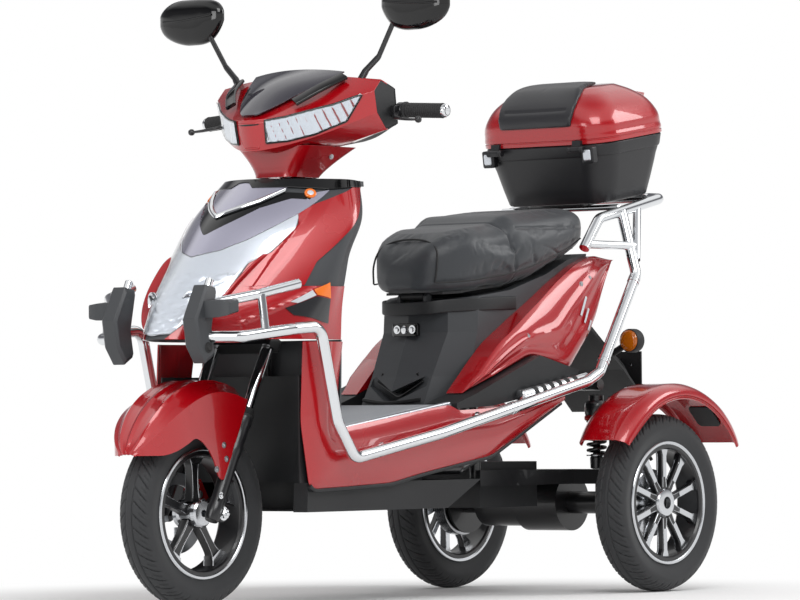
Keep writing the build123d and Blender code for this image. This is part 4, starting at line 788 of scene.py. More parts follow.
def dress_frame() -> None:
    """Gives every CAD node the finish of the piece it is."""
    for name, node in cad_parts.items():
        node.data.materials.clear()
        node.data.materials.append(DRESS[name].material())
        log.info("%s: CAD solid in %s", name, DRESS[name].name)


@dataclass
class Wheel:
    """One wheel: a tyre with cut grooves, a black cast rim with bright lips, and its hub."""

    name: str
    body: Body
    centre: tuple
    outward: float
    spokes: int
    rows: list
    hub: list
    pad: list
    spoke_y: float = 0.0
    turns: int = 616
    grooves: int = 44
    groove_mm: float = 3.2

    def tyre(self) -> None:
        """Builds the tyre: its profile turned about the axle, less the grooves' depth.

        A groove's depth follows (grooves times turn over a full turn, less the distance from the
        crown over 30 mm), so that each groove sweeps back as it runs to the shoulder.
        """
        half = [(0, 205), (18, 202.5), (33, 194), (39.5, 178), (39, 168), (33, 150), (30, 139)]
        whole = [(-y, r) for y, r in reversed(half[1:])] + half
        fine = smooth(whole, 600)
        steps = np.linalg.norm(np.diff(fine, axis=0), axis=1)
        far = np.concatenate([[0], np.cumsum(steps)])
        far -= far[-1] / 2
        wall = np.linspace(44, far[-1], 13)[1:]
        where = np.concatenate([-wall[::-1], np.linspace(-44, 44, 53), wall])
        profile = np.stack([np.interp(where, far, fine[:, k]) for k in (0, 1)], 1)
        turn = full_turn(self.turns)
        reach = np.abs(where)[None, :]
        phase = (self.grooves * turn[:, None] / (2 * math.pi) - reach / 30.0) % 1.0
        long_cut = held((0.085 - np.abs(phase - 0.5)) / 0.05)
        long_cut = long_cut * held((reach - 6) / 3) * held((46 - reach) / 5)
        phase_short = (phase + 0.5) % 1.0
        short_cut = held((0.06 - np.abs(phase_short - 0.5)) / 0.04)
        short_cut = short_cut * held((reach - 24) / 3) * held((42 - reach) / 4)
        round_cut = held((2.4 - np.abs(reach - 9)) / 1.2) * 0.8
        cut = np.maximum(np.maximum(long_cut, short_cut * 0.7), round_cut) * self.groove_mm
        ribs = 0.9 * (held((1.6 - np.abs(reach - 56)) / 1.2) + held((1.2 - np.abs(reach - 72)) / 1.0))
        points = turned_about_y(profile, self.centre, turn)
        middle = np.stack([self.centre[0] + np.sin(turn) * 176, np.full_like(turn, self.centre[1]),
                           self.centre[2] + np.cos(turn) * 176], 1)
        inward = unit(middle[:, None, :] - points)
        depth = cut - np.minimum(ribs, 0.9) * (np.abs(profile[:, 0]) < 39)[None, :]
        Shape().grid(points + inward * depth[..., None], wrap_u=True, wrap_v=True).piece(
            f"{self.name}_tyre_tread", self.body, [SHOP.tyre], (f"{self.name}_tyre",), sharp_deg=50)

    def rim(self) -> None:
        """Builds the rim: barrel, bright lips, bevelled spokes with bright pads, and the hub."""
        turn = full_turn(120)
        barrel = [(-34.3, 127), (-34.3, 134), (-30.3, 137), (30.3, 137), (34.3, 134), (34.3, 127),
                  (30, 124), (24, 126), (-24, 126), (-30, 124)]
        shape = Shape().grid(
            turned_about_y(np.array(barrel, float), self.centre, turn), wrap_u=True, wrap_v=True)
        for hand in (-1, 1):
            lip = np.array([(hand * y, r) for y, r in ((30.3, 134.6), (33.6, 134.6), (35.4, 136.5),
                                                        (35.4, 141.5), (33.6, 143), (30.3, 142.6))])
            shape.grid(turned_about_y(lip, self.centre, turn), wrap_u=True, wrap_v=True, slot=1)
        hub = np.array([(self.outward * y, r) for y, r in self.hub])
        shape.grid(turned_about_y(hub, self.centre, turn[::2]), wrap_u=True, wrap_v=True, slot=2)
        rows = along(self.rows, np.linspace(0, len(self.rows) - 1, 3 * len(self.rows)))
        cx, cy, cz = self.centre
        half, thick, reach = rows[:, 1], rows[:, 2] / 2, rows[:, 0]
        cut = 2.5
        across = np.stack([half, half, half - cut, cut - half, -half, -half, cut - half, half - cut], 1)
        deep = np.stack(
            [cut - thick, thick - cut, thick, thick, thick - cut, cut - thick, -thick, -thick], 1)
        spoke = np.stack([cx + across, cy + self.outward * self.spoke_y + deep,
                          cz + np.broadcast_to(reach[:, None], across.shape)], -1)
        pad = [(cx + x, cz + z) for x, z in self.pad]
        for angle in full_turn(self.spokes):
            shape.solid(about_y(spoke, self.centre, angle))
            for hand in (-1, 1):
                face = cy + self.outward * self.spoke_y + hand * (rows[-3, 2] / 2)
                ring = np.stack([flat(pad, "y", face - hand * 0.5), flat(pad, "y", face + hand * 1.6)])
                shape.solid(about_y(ring, self.centre, angle), 1)
                for edge in (-1, 1):
                    line = np.stack([cx + edge * (half - 2.0), cy + self.outward * self.spoke_y
                                     + hand * (thick + 0.1), cz + reach], 1)[1:-4]
                    thread = carried(line, circle(6), (0, 1, 0), 0.9)
                    shape.solid(about_y(thread, self.centre, angle), 1)
        shape.piece(f"{self.name}_rim_casting", self.body, [SHOP.cast, SHOP.turned, SHOP.turned],
                    (f"{self.name}_rim",))

    def valve(self) -> None:
        """Adds the tyre valve: a slim stem with a cap, through the barrel between two spokes."""
        cx, cy, cz = self.centre
        angle = math.pi / self.spokes
        stem = lathe([(0, 3.2), (14, 3.2), (14.5, 4.0), (24, 4.0), (25, 2.0)], (cx, cy, cz + 126),
                     (cx, cy + self.outward * 10, cz + 104), 12)
        Shape().solid(about_y(stem, self.centre, angle)).piece(
            f"{self.name}_valve", self.body, [SHOP.rubber])

    def build(self) -> None:
        """Builds the whole wheel."""
        self.tyre()
        self.rim()
        self.valve()


# Spokes: distance from the axle, half width and thickness. Hubs: place along the axle and radius.
# Pads: place across the spoke and distance from the axle.
FRONT_SPOKE = [(26, 13, 24), (50, 10.5, 22), (80, 10.5, 20), (105, 13, 20), (118, 22, 24), (131, 33, 28)]
REAR_SPOKE = [(28, 9.5, 18), (55, 7.5, 16), (85, 6.5, 14), (108, 7, 14), (120, 10.5, 16), (131, 15.5, 18)]
FRONT_HUB = [(-34, 8), (-34, 26), (-30, 30), (-20, 30), (-15, 26), (15, 26), (20, 30), (30, 30),
             (34, 26), (34, 8)]
FRONT_PAD = [(-13, 108), (13, 108), (30, 130), (-30, 130)]
REAR_PAD = [(-6, 60), (6, 60), (6.2, 108), (13.5, 129), (-13.5, 129), (-6.2, 108)]
REAR_HUB = [(-44, 14), (-47, 40), (-47, 70), (-44, 78), (-16, 78), (-13, 74), (-13, 36), (22, 34),
            (28, 30), (30, 22), (30, 14)]


@dataclass
class Fork:
    """The telescopic fork: bright stanchions, ridged seals, cast sliders and the axle's nuts."""

    leg_y: float = 76.0
    lean: float = STEERING_SLOPE
    foot_x: float = 1290.0
    axle: tuple = FRONT_AXLE

    def leg(self, height: float, hand: float) -> tuple:
        """A point at a height on a leg's line."""
        return (self.foot_x - (height - WHEEL_MM) * self.lean, hand * self.leg_y, height)

    def build(self) -> None:
        """Builds both legs."""
        bright, dark, nuts = Shape(), Shape(), Shape()
        for hand in (-1, 1):
            low, high = self.leg(410.0, hand), self.leg(559.0, hand)
            length = float(np.linalg.norm(np.subtract(high, low)))
            bright.turned([(0, 11), (0, 13.4), (length, 13.4), (length, 11)], low, high, 32)
            ribs = [(-2, 15), (-2, 18.6), (3, 19.2)]
            for k in range(4):
                ribs += [(5 + 3.4 * k, 18.9 - k * 0.6), (6.6 + 3.4 * k, 16.4 - k * 0.4)]
            ribs += [(20, 16.2), (22, 14.2), (22, 12)]
            dark.turned(ribs, low, high, 32, slot=1)
            foot = self.leg(190.0, hand)
            reach = float(np.linalg.norm(np.subtract(low, foot)))
            body = [(0, 8), (0, 14), (8, 17), (30, 18.5), (44, 16.5), (60, 15.6), (reach * 0.62, 15.8),
                    (reach * 0.66, 17.6), (reach * 0.72, 17.6), (reach * 0.75, 16.4), (reach * 0.9, 16.8),
                    (reach * 0.93, 18.6), (reach, 18.8), (reach, 12)]
            dark.turned(body, foot, low, 32)
            lug = [(hand * y, r)
                   for y, r in ((62, 6), (62, 16), (65, 18.6), (87, 18.6), (89.5, 16), (89.5, 6))]
            turn = full_turn(36)
            dark.grid(turned_about_y(np.array(lug), self.axle, turn), wrap_u=True, wrap_v=True)
            start = (self.axle[0], hand * 89.0, self.axle[2])
            away = (self.axle[0], hand * 100.0, self.axle[2])
            nuts.turned([(0, 6), (0, 15), (2.2, 15), (2.2, 6)], start, away, 28)
            nuts.turned([(2, 6), (2, 11.5), (9.5, 11.5), (11, 9.5), (11, 6)], start, away, 6)
            nuts.turned([(9, 5.5), (15, 5.5), (16, 4), (16, 0.2)], start, away, 16)
            add_bolt(nuts, (self.axle[0] + 14, hand * 96, 244), (0, hand, 0), 5.0, 4.0)
        bright.piece("stanchion_tubes", Body.STEERING, [SHOP.chrome], ("fork_stanchions",))
        dark.piece("slider_castings", Body.STEERING, [SHOP.cast, SHOP.rubber], ("fork_sliders",),
                   bevel_mm=0.5)
        nuts.piece("axle_nuts", Body.STEERING, [SHOP.chrome])


@dataclass
class FrontFender:
    """The narrow front fender: a folded red channel with a ridge, side ribs and bolted ears."""

    centre: tuple = (1271.0, 0.0, 266.0)
    radius: float = 225.6
    rows: tuple = (
        # angle from upright, crown half, shoulder half, shoulder drop, then x, y, z of the low edge
        (72.4, 10, 20, 3, 1484, 22, 331), (64, 26, 50, 10, 1462, 52, 331),
        (54, 36, 70, 16, 1436, 70, 332), (44, 42, 80, 20, 1408, 80, 341),
        (34, 44, 85, 24, 1380, 85, 355), (24, 44, 86, 26, 1355, 86, 366),
        (14, 44, 86, 26, 1325, 86, 352), (6, 44, 86, 26, 1300, 86, 322),
        (0, 44, 86, 26, 1282, 86, 284), (-6, 44, 86, 26, 1262, 86, 284),
        (-13, 44, 86, 26, 1230, 86, 352), (-20, 44, 86, 26, 1198, 86, 420),
        (-24, 44, 84, 24, 1184, 84, 452))

    def build(self) -> None:
        """Builds the channel: each row's half section runs from the ridge over the crown's edge and
        the shoulder down to the low edge, and a smooth line joins the rows."""
        table = np.array(self.rows, float)
        angle = np.radians(table[:, 0])
        cx, _, cz = self.centre

        def ring(y: Array, drop: Array) -> Array:
            """A line of points on the rings at a distance inside the crown."""
            reach = self.radius - drop
            return np.stack([cx + np.sin(angle) * reach, y, cz + np.cos(angle) * reach], -1)

        zero = np.zeros(len(table))
        crown, shoulder, drop = table[:, 1], table[:, 2], table[:, 3]
        low = table[:, 4:7]
        side = ring(shoulder, drop)
        lines = [ring(zero, zero - 1.5), ring(crown * 0.25, zero + 1.5), ring(crown * 0.75, zero + 1.5),
                 ring(crown, zero), ring(crown + 3, zero + 3.5),
                 ring((crown + shoulder) / 2, drop * 0.55 + 2), side,
                 side * 0.7 + low * 0.3, side * 0.35 + low * 0.65, low]
        half = np.stack(lines, 1)
        rows = along(half, np.linspace(0, len(half) - 1, 91))
        places = np.concatenate([np.linspace(k, k + 1, 5)[:-1] for k in range(9)] + [[9.0]])
        fine = np.stack([rows[:, int(p)] + (rows[:, min(int(p) + 1, 9)] - rows[:, int(p)]) * (p % 1)
                         for p in places], 1)
        whole = np.concatenate([mirrored(fine[:, :0:-1]), fine], 1)
        whole[..., 1] = np.clip(whole[..., 1], -86, 86)
        whole[..., 0] = np.minimum(whole[..., 0], 1484.5)
        Shape().shell(whole[:, ::-1], 3.0).piece(
            "front_fender_shell", Body.STEERING, [SHOP.red], ("front_fender",), bevel_mm=1.0, sharp_deg=24)
        bolts = Shape()
        for x, z in ((1258, 322), (1266, 352), (1290, 300)):
            add_bolt(bolts, (x, 86.5, z), (0, 1, 0), 4.5, 3.5)
        bolts.both().piece("fender_bolts", Body.STEERING, [SHOP.steel])


@dataclass
class Caliper:
    """The red front brake caliper on the disc: two finned halves and their bolts."""

    centre: tuple = FRONT_AXLE
    turn_deg: float = -58.0

    def build(self) -> None:
        """Builds the halves as plates with rounded plan outlines, each shrunk to its outer face."""
        base = rounded_box(62, 40, 12, 6)
        shape = Shape()
        for start, end in ((-42.5, -32.0), (-47.5, -58.0)):
            rings = [flat(base, "y", start), flat(base, "y", start + (end - start) * 0.6),
                     flat(base * 0.82, "y", end)]
            shape.solid(np.stack(rings) + np.array([0, 0, 74.7]))
            for x in (-20, 0, 20):
                add_bolt(shape, (x, end, 74.7), (0, 1 if end > start else -1, 0), 6.0, 3.0, 1)
        bridge = rounded_box(56, 12, 5, 5)
        shape.solid(np.stack([flat(bridge, "y", -34.0), flat(bridge, "y", -56.0)]) + np.array([0, 0, 91.0]))
        shape.blocks = [about_y(np.concatenate(shape.blocks), (0, 0, 0), math.radians(self.turn_deg))
                        + np.asarray(self.centre)]
        shape.piece("caliper_body", Body.STEERING, [SHOP.anodised, SHOP.steel], ("brake_caliper",),
                    bevel_mm=1.0)


SHIELD_ROWS = (
    # height, the nose's x, then x and y of the cheek, the shoulder and the rear edge
    (578, 1400, 1312, 95, 1153, 200, 1014, 204), (662, 1348.5, 1256, 120, 1101, 211, 1014, 209),
    (760, 1261, 1189, 120, 1050, 215, 988, 209), (844, 1184, 1127, 114, 998, 209, 936.5, 204),
    (928, 1081, 1045, 90, 952, 166, 890, 159))


def shield_net() -> Array:
    """The leg shield's net of points: rows by height, columns from the right rear to the left rear."""
    table = np.insert(np.array(SHIELD_ROWS, float), 2, 0.0, 1)
    left = np.stack([table[:, (k, k + 1, 0)] for k in (1, 3, 5, 7)], 1)
    return np.concatenate([mirrored(left[:, :0:-1]), left], 1)


SHIELD_NET = shield_net()


def on_shield(places: Array, proud: Array | float = 0.0) -> Array:
    """Points of the leg shield's smooth outer surface.

    Args:
        places: Pairs along the last axis: across, from -3 at the right rear edge to 3 at the left,
            and up, from 0 at the beak's foot to 4 at the top.
        proud: How far outside the surface the points lie.

    Returns:
        The points, in millimetres.
    """
    across, up = places[..., 0], places[..., 1]
    here = sheet_at(SHIELD_NET, up, across + 3)
    step = 0.02
    slope_up = sheet_at(SHIELD_NET, up + step, across + 3) - here
    slope_side = sheet_at(SHIELD_NET, up, across + 3 + step) - here
    normal = unit(np.cross(slope_side, slope_up))
    return here + normal * np.asarray(proud, float)[..., None]


def cowl_crease(w: Array, h: Array) -> Array:
    """How fully places lie on the slanting crease of the lower cowl, from 0 to 1."""
    return held(1 - np.abs(h - (0.75 + (w - 1.46) * 1.25)) / 0.09)


def between(first: list, second: list, rows: int = 24, columns: int = 60) -> Array:
    """Places between two lines of places: each row is an even mix of the two, read evenly by length."""
    one, two = straight(first, columns), straight(second, columns)
    share = np.linspace(0, 1, rows)[:, None, None]
    return one[None] * (1 - share) + two[None] * share


def across_nose(line: list) -> list:
    """A line of places on the left, run on over the nose to the right; it starts at the left end."""
    return list(line) + [(-w, h) for w, h in reversed(line) if w > 0]


def flip_places(line: list) -> list:
    """The same places on the right."""
    return [(-w, h) for w, h in line]


@dataclass
class LegShield:
    """The leg shield: red side cowls, silver nose, bright V strip, black top, lamp cover and blades."""

    wall: float = -4.0
    proud: float = 4.0
    inner: tuple = ((2.25, 3.78), (1.86, 3.58), (1.48, 3.33), (1.31, 3.05), (1.36, 2.81), (1.29, 2.47),
                    (1.17, 2.05), (0.93, 1.80), (0.84, 1.30))
    rear: tuple = ((2.93, 3.80), (2.08, 2.48), (1.76, 1.84), (1.71, 1.33))
    low_inner: tuple = ((0.84, 1.30), (0.82, 1.14), (0.54, 0.50), (0.38, 0.16), (0.30, 0.0))
    low_rear: tuple = ((2.98, 1.33), (2.98, 0.0))
    seam: tuple = ((1.69, 3.69), (1.50, 3.36), (1.31, 3.05), (1.06, 2.73), (0.77, 2.39), (0.44, 2.11),
                   (0.0, 1.95))
    recess_low: tuple = (
        (1.46, 3.62), (1.42, 3.43), (1.16, 3.46), (0.72, 3.21), (0.36, 2.83), (0.05, 2.53), (0.0, 2.5))
    strip_low: tuple = ((1.02, 3.66), (0.66, 3.34), (0.02, 2.96), (0.0, 2.95))
    strip_high: tuple = ((1.00, 3.74), (0.60, 3.46), (0.06, 3.10), (0.0, 3.08))
    black_low: tuple = (
        (2.95, 3.8), (2.25, 3.79), (1.69, 3.72), (1.04, 3.77), (0.31, 3.77), (0.15, 3.9), (0.0, 3.92))
    black_high: tuple = ((2.95, 3.98), (2.25, 3.99), (1.62, 4.0), (0.68, 4.0), (0.35, 4.0), (0.0, 4.0))

    def cowls(self) -> None:
        """Builds the red cowls. A raised band crosses them from the lamp's corner up to the rear."""
        shape = Shape()
        for flip in (False, True):
            for first, second in ((self.inner, self.rear), (self.low_inner, self.low_rear)):
                if flip:
                    first, second = flip_places(second), flip_places(first)
                places = between(first, second, 46, 80)
                w, h = np.abs(places[..., 0]), places[..., 1]
                low_line = 1.11 + (h - 1.43) * 0.17
                high_line = 1.24 + (h - 1.44) * 0.24
                band = held((w - low_line) / 0.03) * held((high_line - w) / (high_line - low_line))
                crease = cowl_crease(w, h)
                shape.shell(on_shield(places, self.proud - 3.0 * band * (h > 1.25)
                                      + 2.2 * crease * (w > 1.2) * (h < 1.6)), self.wall)
        shape.piece("leg_shield_cowls", Body.ROOT, [SHOP.red], ("leg_shield",), bevel_mm=0.8, sharp_deg=26)

    def lining(self) -> None:
        """Builds the grey lining under all the cowls, which shows behind them as the knee sides."""
        w = np.linspace(-2.99, 2.99, 140)
        h = np.linspace(0.01, 3.995, 70)
        places = np.stack(np.meshgrid(w, h), -1)
        Shape().shell(on_shield(places, 0.6), -3.0).piece(
            "leg_shield_lining", Body.ROOT, [SHOP.grey], sharp_deg=30)

    def nose(self) -> None:
        """Builds the nose panel: silver field, dark recess, bright V strip, grey facet, black top."""
        facet_top = ((1.02, 3.77), (0.31, 3.77), (0.15, 3.90), (0.0, 3.92))
        rise = 5.0 + 4.0 * np.sin(np.linspace(0, math.pi, 10))[:, None] * np.ones((1, 120))
        # name, finish, node it stands for, low and high line, rows, columns, proud, wall, bevel, sharp edge
        fields = (
            ("nose_silver_panel", SHOP.nose, ("nose_panel",), self.seam, self.recess_low, 20, 120, 4.5, 3.5,
             0.8, 26),
            ("nose_recess", SHOP.gloss, (), self.recess_low, self.strip_low, 10, 120, 1.6, 1.5, 0.0, 26),
            ("nose_bright_strip", SHOP.chrome, (), self.strip_low, self.strip_high, 10, 120, rise, 4.0, 0.0,
             40),
            ("nose_facet", SHOP.nose, (), self.strip_high, facet_top, 10, 120, 3.0, 2.5, 0.0, 26),
            ("shield_top_trim", SHOP.gloss, (), self.black_low, self.black_high, 10, 140, 5.0, 4.0, 1.0, 26))
        for name, finish, nodes, low, high, rows, columns, proud, wall, bevel, sharp in fields:
            places = between(across_nose(low), across_nose(high), rows, columns)
            shape = Shape().shell(on_shield(places, proud), wall)
            shape.piece(name, Body.ROOT, [finish], nodes, bevel_mm=bevel, sharp_deg=sharp)

    def lamp(self) -> None:
        """Builds the lamp: a facetted reflector under a clear cover, from the seam to the beak."""
        outer = [(1.33, 3.03), (1.33, 2.90), (1.34, 2.67), (1.28, 2.47), (1.15, 2.05), (0.91, 1.80),
                 (0.82, 1.30), (0.80, 1.14), (0.52, 0.50), (0.36, 0.14), (0.0, 0.08)]
        seam = [(1.31, 3.05), (1.06, 2.71), (0.77, 2.37), (0.44, 2.09), (0.0, 1.93)]
        places = between(across_nose(outer), across_nose(seam), 40, 150)
        w, h = places[..., 0], places[..., 1]
        ramps = np.abs(((h * 4.2 + np.abs(w) * 2.2) % 1.0) - 0.5) * 2
        cells = np.abs(((h * 4.2 - np.abs(w) * 3.4) % 1.0) - 0.5) * 2
        crystal = (h < 1.55) * 3.0 * np.minimum(ramps, cells)
        # The reflector's pale white colour is a painted reflection of the bright room, not its own lit
        # surface.
        Shape().shell(on_shield(places, 3.2 + crystal), 1.0).piece(
            "lamp_reflector", Body.ROOT, [SHOP.reflector], ("front_lens",), sharp_deg=12)
        Shape().shell(on_shield(places, 7.4), 1.6).piece(
            "lamp_cover", Body.ROOT, [SHOP.clear], bevel_mm=0.6, sharp_deg=30)
        eye = Shape()
        for hand in (1, -1):
            at = on_shield(np.array([[hand * 0.44, 0.95]]), 3.0)[0]
            away = at + np.array([0.9, hand * 0.35, -0.1]) * 10
            eye.turned([(-8, 20), (0, 24), (3, 24), (3.5, 21), (1, 19), (-4, 10), (-5, 0.2)], at, away, 32)
            eye.turned([(-3, 8), (2, 7), (4.5, 4.5), (5.2, 0.2)], at, away, 24, slot=1)
        eye.piece("lamp_projectors", Body.ROOT, [SHOP.mirror, SHOP.silver])

    def blades(self) -> None:
        """Builds the raised red blades beside the lamp: a thin fin carried down the surface."""
        shape = Shape()
        for hand in (1, -1):
            line = smooth([(hand * 1.10, 2.00), (hand * 1.0, 1.72), (hand * 0.88, 1.35),
                           (hand * 0.80, 1.0), (hand * 0.68, 0.62), (hand * 0.56, 0.28)], 60)
            rise = np.sin(np.linspace(0.06, math.pi - 0.06, 60)) ** 0.45 * 20.0
            foot = on_shield(line, 2.0)
            crest = on_shield(line, rise + 2.0)
            side = np.stack([on_shield(line + np.array([dw, 0]), 2.0) - foot for dw in (-0.045, 0.045)])
            rows = np.stack([foot + side[0], crest + side[0] * 0.45, crest + (crest - foot) * 0.04,
                             crest + side[1] * 0.45, foot + side[1]], 1)
            shape.solid(rows)
        shape.piece("lamp_blades", Body.ROOT, [SHOP.red], bevel_mm=1.2, sharp_deg=30)

    def badge(self) -> None:
        """Sets a plain round button, a ring round a pale dot, on both cowls."""
        shape = Shape()
        for hand in (1, -1):
            at = on_shield(np.array([[hand * 1.41, 3.60]]), 4.5)[0]
            out = on_shield(np.array([[hand * 1.41, 3.60]]), 14.5)[0]
            shape.turned([(-2, 13), (1.6, 13), (2.4, 12), (2.4, 7), (-2, 7)], at, out, 40)
            shape.turned([(-2, 7.4), (2.2, 7.4), (3.0, 6), (3.4, 0.2)], at, out, 40, slot=1)
        shape.piece("cowl_buttons", Body.ROOT, [SHOP.orange, SHOP.pale])

    def stripes(self) -> None:
        """Lays plain stripes on the lower cowls: an orange field over a silver one over a black one."""
        fields = ((SHOP.orange, [(1.86, 1.24), (2.12, 1.4)], [(1.95, 1.12), (2.3, 1.05)]),
                  (SHOP.pale, [(1.62, 0.95), (1.84, 1.22)], [(1.72, 0.92), (1.94, 1.11)]),
                  (SHOP.ink, [(1.6, 0.8), (1.74, 0.92), (1.95, 1.09), (2.3, 1.03)],
                   [(1.75, 0.62), (2.05, 0.55), (2.3, 0.46), (2.5, 0.42)]))
        for finish, first, second in fields:
            shape = Shape()
            for flip in (False, True):
                one, two = (flip_places(second), flip_places(first)) if flip else (first, second)
                places = between(one, two, 16, 30)
                w, h = np.abs(places[..., 0]), places[..., 1]
                crease = cowl_crease(w, h)
                shape.shell(on_shield(places, 5.6 + 2.2 * crease), -0.6)
            shape.piece(finish.name.split("_")[0] + "_stripe", Body.ROOT, [finish], sharp_deg=26)

    def build(self) -> None:
        """Builds the whole shield."""
        self.lining()
        self.cowls()
        self.nose()
        self.lamp()
        self.blades()
        self.badge()
        self.stripes()


TUBE_UP = (0.7, 0.7, 0.3)


@dataclass
class ChromeTubes:
    """All the bright bars: side guards, nose bars, rear rack and footrests, as smooth bent tube."""

    guard_y: float = 258.0
    radius: float = 13.0

    def side_guards(self) -> None:
        """Builds both side guards, each with collars where two lengths of tube meet."""
        low, high = np.array([-50.0, 0, 320.0]), np.array([1362.0, self.guard_y, 884.0])
        shares = np.array([(1.0, 0.5, 0.465), (0.983, 0.775, 0.465), (0.914, 1.0, 0.493),
                           (0.847, 1.0, 0.504), (0.809, 1.0, 0.142), (0.768, 1.0, 0.0), (0.554, 1.0, 0.092),
                           (0.177, 1.0, 0.294), (0.142, 1.0, 0.333), (0.014, 0.9, 0.738),
                           (0.004, 0.702, 1.0)])
        corners = low + shares * (high - low)
        for name, hand in (("left", 1.0), ("right", -1.0)):
            turned = corners * np.array([1, hand, 1])
            up = (TUBE_UP[0], TUBE_UP[1] * hand, TUBE_UP[2])
            shape = Shape().tube(bent(turned, 34.0, 10), self.radius, 26, up)
            for first, second, share in ((6, 7, 0.48), (8, 9, 0.12), (8, 9, 0.94)):
                start = turned[first] + (turned[second] - turned[first]) * share
                ahead = unit(turned[second] - turned[first])
                shape.turned([(-9, 12.9), (-8, 14.4), (-1, 14.4), (-0.4, 13.2), (0.4, 13.2), (1, 14.4),
                              (8, 14.4), (9, 12.9)], start, start + ahead, 26)
            for x, z in ((900.3, 343.1), (560.0, 408.0)):
                shape.turned([(0, 6), (36, 6)], (x, hand * 222.5, z), (x, hand * 258, z), 16)
                shape.turned([(-1.5, 11), (1, 11), (1.2, 6.5)], (x, hand * 223.5, z), (x, hand * 258, z),
                             20)
            shape.piece(f"{name}_guard_tube", Body.ROOT, [SHOP.chrome], (f"guard_bar_{name}",))

    def nose_bars(self) -> None:
        """Builds the short bars at the nose with their risers."""
        shape = Shape()
        shape.tube(bent([(1196, 240, 696), (1300, 214, 672), (1362, 150, 655)], 40.0, 10), 11.0, 24)
        shape.turned([(-1, 7), (0, 9.5), (1.5, 10.8), (3, 11)], (1194, 240.5, 696.4), (1210, 236.4, 692.8),
                     24)
        shape.tube(np.array([(1292, 229.1, 592), (1292, 218, 672)], float), 9.5, 20, (1, 0, 0))
        shape.both().piece("nose_tubes", Body.ROOT, [SHOP.chrome], ("nose_bars",))

    def rack(self) -> None:
        """Builds the rack: its hoop, braces, cross rods and the plate under the case."""
        low, high = np.array([-248.0, 0, 795.0]), np.array([107.0, self.guard_y, 924.0])
        rows = np.array([(1.0, 0.717, 0.0), (0.825, 0.705, 0.55), (0.107, 0.667, 0.969), (0.0, 0.446, 1.0)])
        half = low + rows * (high - low)
        shape = Shape().tube(bent(np.concatenate([half, mirrored(half[::-1])]), 34.0, 10), 12.5, 24)
        for start, end in (((0.586, 0.876, -0.194), (0.388, 0.690, 0.76)),
                           ((0.98, 0.717, 0.08), (0.576, 0.837, 0.06))):
            for hand in (1, -1):
                ends = (low + np.array([start, end]) * (high - low)) * np.array([1, hand, 1])
                shape.tube(ends, 9.8, 20, (0.3, 0.2, 0.9))
        lean = math.radians(CASE_LEAN_DEG)
        for share in (-72.0, 72.0):
            x = -116.0 - 12.8 * math.sin(lean) + share * math.cos(lean)
            z = 919.0 - 12.8 * math.cos(lean) - share * math.sin(lean)
            shape.tube(np.array([(x, -172, z), (x, 172, z)], float), 7.5, 16)
        plate = rounded_box(180, 180, 20, 6)
        rings = []
        for lift in (-5.3, -0.3):
            x = -116.0 + lift * math.sin(lean) + plate[:, 0] * math.cos(lean)
            z = 919.0 + lift * math.cos(lean) - plate[:, 0] * math.sin(lean)
            rings.append(np.stack([x, plate[:, 1], z], 1))
        shape.solid(np.stack(rings), 1)
        shape.piece("rack_tubes", Body.ROOT, [SHOP.chrome, SHOP.enamel], ("rear_rack",))

    def footrests(self) -> None:
        """Builds the passenger's footrests: a bar with rubber rings."""
        shape = Shape()
        start, end = (415, 231.3, 452), (165, 231.3, 493)
        shape.turned([(0, 11), (3, 15), (250, 15), (253, 11)], start, end, 28)
        for k in range(6):
            shape.turned([(40 + 30 * k, 14.8), (41 + 30 * k, 15.9), (55 + 30 * k, 15.9),
                          (56 + 30 * k, 14.8)], start, end, 28, slot=1)
        shape.both().piece("footrest_bars", Body.ROOT, [SHOP.chrome, SHOP.rubber], ("footrests",))

    def build(self) -> None:
        """Builds every bar."""
        self.side_guards()
        self.nose_bars()
        self.rack()
        self.footrests()


@dataclass
class Horns:
    """The dark bumper horns at the nose, with tapered faces, tube caps and bolts."""

    side: tuple = ((1342, 688), (1374, 694), (1410, 622), (1400, 560), (1376, 526), (1350, 542),
                   (1360, 600))
    arm: tuple = ((1340, 665), (1385, 660), (1385, 622), (1340, 632))

    def build(self) -> None:
        """Builds each horn as its side outline, drawn in at both faces, and its arm the same way."""
        shape = Shape()
        shape.solid(drawn(self.side, "y", ((94, 0.86), (100, 1.0), (132, 1.0), (138, 0.88))))
        shape.solid(drawn(self.arm, "y", ((136, 1.0), (176, 0.96), (198, 0.8), (203.5, 0.62))))
        add_bolt(shape, (1372, 139, 560), (0, 1, 0), 8.0, 6.0, 1)
        shape.turned([(0, 7), (2, 9), (26, 9), (28, 7)], (1352, 116, 682), (1340, 116, 708), 20, slot=2)
        shape.both().piece("horn_mouldings", Body.ROOT, [SHOP.grey, SHOP.rubber, SHOP.chrome],
                           ("bumper_horns",), bevel_mm=2.0, sharp_deg=30)


